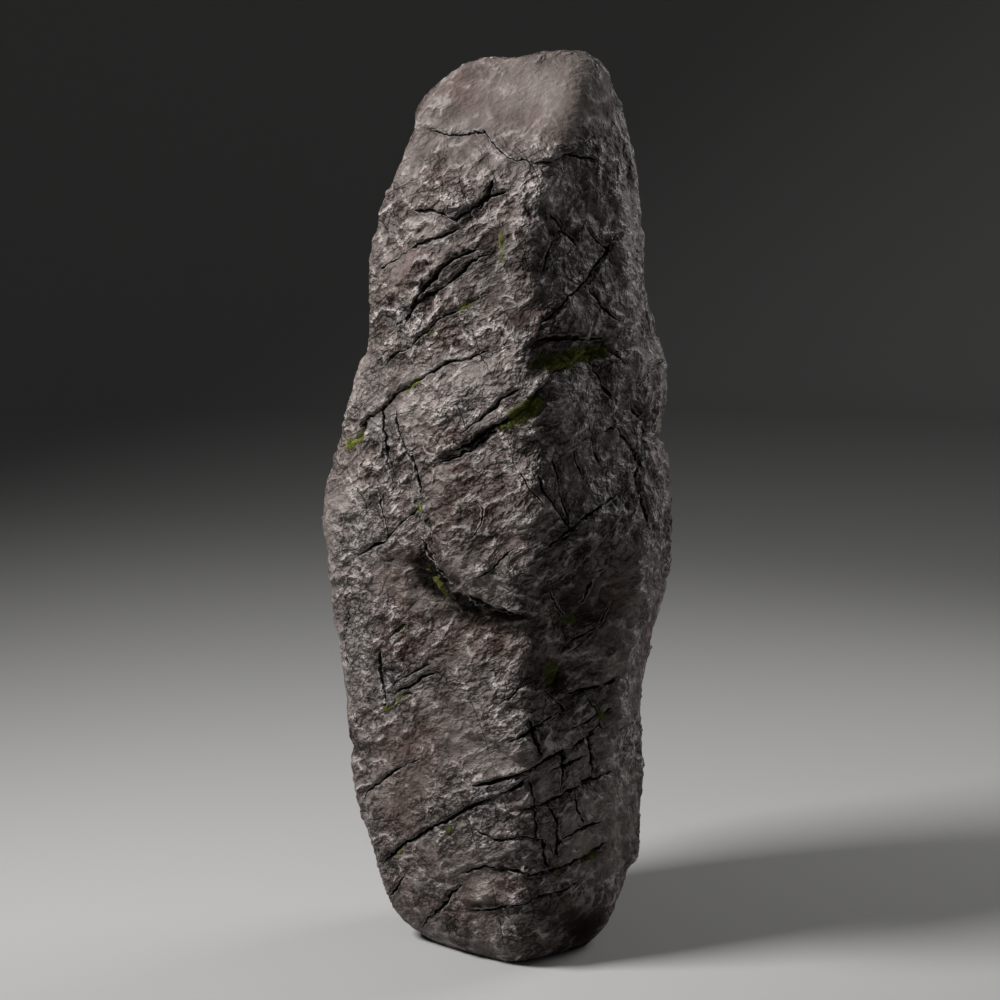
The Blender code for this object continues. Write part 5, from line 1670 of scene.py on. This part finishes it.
@dataclass
class MossCushions:
    """Cushion moss in the damp clefts: low cushions, thick with short leafy shoots."""

    skin: bpy.types.Object
    clumps: tuple[Layer, ...] = (Layer(0.034, 81, 0.30), Layer(0.012, 82, 0.20))
    starts: float = 0.30  # the mark and the clumps together where moss starts
    full: float = 0.70  # and where it is thickest
    thinnest: float = 0.02  # growth that still makes a cushion
    cushion_height: float = 0.0040
    tuck: float = 0.0014  # how far a cushion's edge lies under the rock's surface
    shoots: int = 22_000
    shoot_height: float = 0.0045
    shoot_heights: tuple[float, float] = (0.5, 1.2)  # the shortest and the tallest, by the usual one
    thin_height: float = 0.35  # how high shoots are on the thinnest moss, by those on the thickest
    shoot_width: float = 0.0013
    shoot_widths: tuple[float, float] = (0.6, 1.2)
    splay: float = 0.45  # how far shoots lean away from the rock's normal
    uplift: float = 0.35  # how much they lean up to the light
    corners: int = 3  # of a shoot's root
    seed: int = 5

    def growth(self) -> Array:
        """Finds how thickly moss grows.

        Returns:
            0 to 1 for each point of the skin.
        """
        mesh = self.skin.data
        points = read(mesh.vertices, "co", 3)
        clumps = sum(layer.smooth(points) for layer in self.clumps)
        marked = read(mesh.attributes["moss"].data, "value", 1).ravel()
        return smooth_step(marked + clumps, self.starts, self.full)

    def build(self) -> bpy.types.Object:
        """Builds the moss.

        Returns:
            One mesh: the cushions over the skin's mossy faces, and the shoots on them.
        """
        mesh = self.skin.data
        mesh.calc_loop_triangles()
        triangles = read(mesh.loop_triangles, "vertices", 3, int)
        growth = self.growth()
        triangles = triangles[growth[triangles].max(axis=1) > self.thinnest]
        used, local = np.unique(triangles, return_inverse=True)
        local = local.reshape(-1, 3)
        growth, normals = growth[used], read(mesh.vertex_normals, "vector", 3)[used]
        lift = self.cushion_height * np.sqrt(growth) - self.tuck
        points = read(mesh.vertices, "co", 3)[used] + lift[:, None] * normals
        roots, tips, sides = self.shoot_points(points, normals, growth, local)
        roots_end = len(points) + self.corners * self.shoots
        base = np.arange(len(points), roots_end).reshape(self.corners, self.shoots)
        tip = roots_end + np.arange(self.shoots)
        sides_of_roots = zip(base, np.roll(base, -1, axis=0))
        leaves = np.stack([np.stack([here, after, tip], axis=-1) for here, after in sides_of_roots], axis=1)
        faces = np.concatenate([local, leaves.reshape(-1, 3)])
        corners = [roots + side for side in sides]
        moss = mesh_object("moss", np.concatenate([points, *corners, tips]), [faces])
        set_mark(moss.data, "tip", np.concatenate([np.zeros(roots_end), np.ones(self.shoots)]))
        LOG.info("grew moss of %d faces", len(moss.data.polygons))
        return moss

    def shoot_points(
        self, points: Array, normals: Array, growth: Array, triangles: Array
    ) -> tuple[Array, Array, list[Array]]:
        """Scatters the shoots over the cushions.

        Args:
            points: The cushions' points.
            normals: The rock's normal at each.
            growth: How thickly moss grows at each.
            triangles: The cushions' faces.

        Returns:
            The middle of each shoot's root, its tip, then how far the root's corners lie from its middle.
        """
        random = np.random.default_rng(self.seed)
        corners = points[triangles]
        area = np.linalg.norm(np.cross(corners[:, 1] - corners[:, 0], corners[:, 2] - corners[:, 0]), axis=1)
        share = area * growth[triangles].mean(axis=1)
        picked = random.choice(len(triangles), self.shoots, p=share / share.sum())
        weights = random.dirichlet((1, 1, 1), self.shoots)
        roots = (corners[picked] * weights[..., None]).sum(axis=1)
        out = (normals[triangles[picked]] * weights[..., None]).sum(axis=1)
        thick = (growth[triangles[picked]] * weights).sum(axis=1)
        lean = out + self.splay * random.normal(size=roots.shape) + (0, 0, self.uplift)
        lean /= np.linalg.norm(lean, axis=1, keepdims=True)
        height = self.shoot_height * (self.thin_height + (1 - self.thin_height) * thick)
        height = height * random.uniform(*self.shoot_heights, self.shoots)
        aside = np.cross(lean, random.normal(size=roots.shape))
        aside /= np.linalg.norm(aside, axis=1, keepdims=True)
        across = np.cross(lean, aside)
        reach = self.shoot_width * random.uniform(*self.shoot_widths, self.shoots)[:, None] / 2
        turns = [math.tau * side / self.corners for side in range(self.corners)]
        sides = [reach * (math.cos(turn) * aside + math.sin(turn) * across) for turn in turns]
        return roots, roots + height[:, None] * lean, sides


@dataclass(frozen=True)
class CushionMoss:
    """Living cushion moss, damp and matt.

    Its leaves let light through, and the shoots shade each other at their roots, so that a cushion is
    dark and brownish between bright olive tips.
    """

    root: str = "#343812"
    leaf: str = "#6E7526"
    tip: str = "#A3A844"
    clump: float = 0.015  # of one green, in metres
    roughness: float = 0.8
    ior: float = 1.4

    def material(self) -> bpy.types.Material:
        """Makes the material.

        Returns:
            The material, which reads how far up a shoot a point is.
        """
        material, tree, shader = new_material("cushion_moss")
        add = partial(add_node, tree)
        place = add("ShaderNodeTexCoord", {}, "Object")
        greener = add("ShaderNodeTexNoise", {"Vector": place, "Scale": 1 / self.clump, "Detail": 3})
        greener = add("ShaderNodeMapRange", {"Value": greener, "From Min": 0.35, "From Max": 0.7})
        greens = {0: greener, 6: linear(self.leaf), 7: linear(self.tip)}
        green = add("ShaderNodeMix", greens, 2, data_type="RGBA")
        up_the_shoot = add("ShaderNodeAttribute", {}, "Fac", attribute_name="tip")
        shoot = {0: up_the_shoot, 6: linear(self.root), 7: green}
        tree.links.new(add("ShaderNodeMix", shoot, 2, data_type="RGBA"), shader.inputs["Base Color"])
        shader.inputs["Roughness"].default_value = self.roughness
        shader.inputs["IOR"].default_value = self.ior
        return material


# --------------------------------------------------------------------------------------------
# The studio
# --------------------------------------------------------------------------------------------


@dataclass(frozen=True)
class StudioPaper:
    """Matt seamless paper, rolled out pale and plain."""

    colour: str = "#A9A8A6"
    roughness: float = 0.9

    def material(self) -> bpy.types.Material:
        """Makes the material.

        Returns:
            The material.
        """
        material, _, shader = new_material("studio_paper")
        shader.inputs["Base Color"].default_value = linear(self.colour)
        shader.inputs["Roughness"].default_value = self.roughness
        return material


@dataclass(frozen=True)
class Softbox:
    """A square soft light that faces the middle of the stone."""

    name: str
    bearing: float  # degrees to the right of straight in front of the stone
    rise: float  # degrees above the stone's middle
    size: float  # of its side, in metres
    power: float  # watts
    distance: float = 4.8  # metres from the stone's middle
    middle: float = 1.0  # how high that is
    spread: float = 110.0  # degrees

    def build(self) -> None:
        """Builds the light."""
        light = bpy.data.objects.new(self.name, bpy.data.lights.new(self.name, "AREA"))
        light.data.energy = self.power
        light.data.size = self.size
        light.data.spread = math.radians(self.spread)
        turn, lift = math.radians(self.bearing), math.radians(self.rise)
        light.location = (
            self.distance * math.sin(turn) * math.cos(lift),
            -self.distance * math.cos(turn) * math.cos(lift),
            self.middle + self.distance * math.sin(lift),
        )
        light.rotation_euler = (math.pi / 2 - lift, 0, turn)
        bpy.context.scene.collection.objects.link(light)


@dataclass
class Studio:
    """A pale round floor whose rim curves up into a low wall, two softboxes and faint ambient light."""

    floor_radii: tuple[float, ...] = (0.0, 2.0, 5.0)  # of the flat floor's rings
    floor_radius: float = 9.0  # where the curve starts
    wall_height: float = 5.5
    curve: float = 3.0
    curve_steps: int = 16
    sides: int = 96
    softboxes: tuple[Softbox, ...] = (
        Softbox("key", -70, 43, 1.2, 142),
        Softbox("rim", 122, 26, 2.4, 38),
    )
    air_colour: str = "#EDEFF2"
    air_light: float = 0.060

    def floor(self) -> None:
        """Builds the floor and its wall, turned from one profile."""
        bends = [math.pi / 2 * step / self.curve_steps for step in range(self.curve_steps + 1)]
        profile = [(radius, 0.0) for radius in self.floor_radii]
        for bend in bends:
            out, up = self.curve * math.sin(bend), self.curve * (1 - math.cos(bend))
            profile.append((self.floor_radius + out, up))
        profile.append((self.floor_radius + self.curve, self.wall_height))
        turns = np.linspace(0, math.tau, self.sides, endpoint=False)
        points = np.array([(r * math.cos(t), r * math.sin(t), z) for r, z in profile for t in turns])
        here = np.arange(self.sides)
        after = (here + 1) % self.sides
        low = (np.arange(len(profile) - 1) * self.sides)[:, None]
        high = low + self.sides
        quads = np.stack([low + here, low + after, high + after, high + here], axis=-1)
        floor = mesh_object("studio_floor", points, [quads.reshape(-1, 4)])
        floor.data.materials.append(StudioPaper().material())

    def air(self) -> None:
        """Fills the studio with faint ambient light."""
        world = bpy.data.worlds.new("studio_air")
        world.use_nodes = True
        background = world.node_tree.nodes["Background"]
        background.inputs["Color"].default_value = linear(self.air_colour)
        background.inputs["Strength"].default_value = self.air_light
        bpy.context.scene.world = world
        bpy.context.scene.view_settings.view_transform = "Standard"

    def build(self, view: FrontView) -> None:
        """Builds the floor, the lights and the camera.

        Args:
            view: Where the camera stands.
        """
        self.floor()
        for softbox in self.softboxes:
            softbox.build()
        self.air()
        view.camera()


def main() -> None:
    """Builds the stone, its moss and the studio."""
    logging.basicConfig(level=logging.INFO, format="%(name)s: %(message)s")
    view = FrontView()
    skin = StandingStone(Carving(view)).skin()
    skin.data.materials.append(WeatheredQuartzite().material())
    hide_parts("stone")
    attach(skin, "root")
    moss = MossCushions(skin).build()
    moss.data.materials.append(CushionMoss().material())
    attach(moss, "root")
    Studio().build(view)
    LOG.info("finished")


if __name__ == "__main__":
    main()
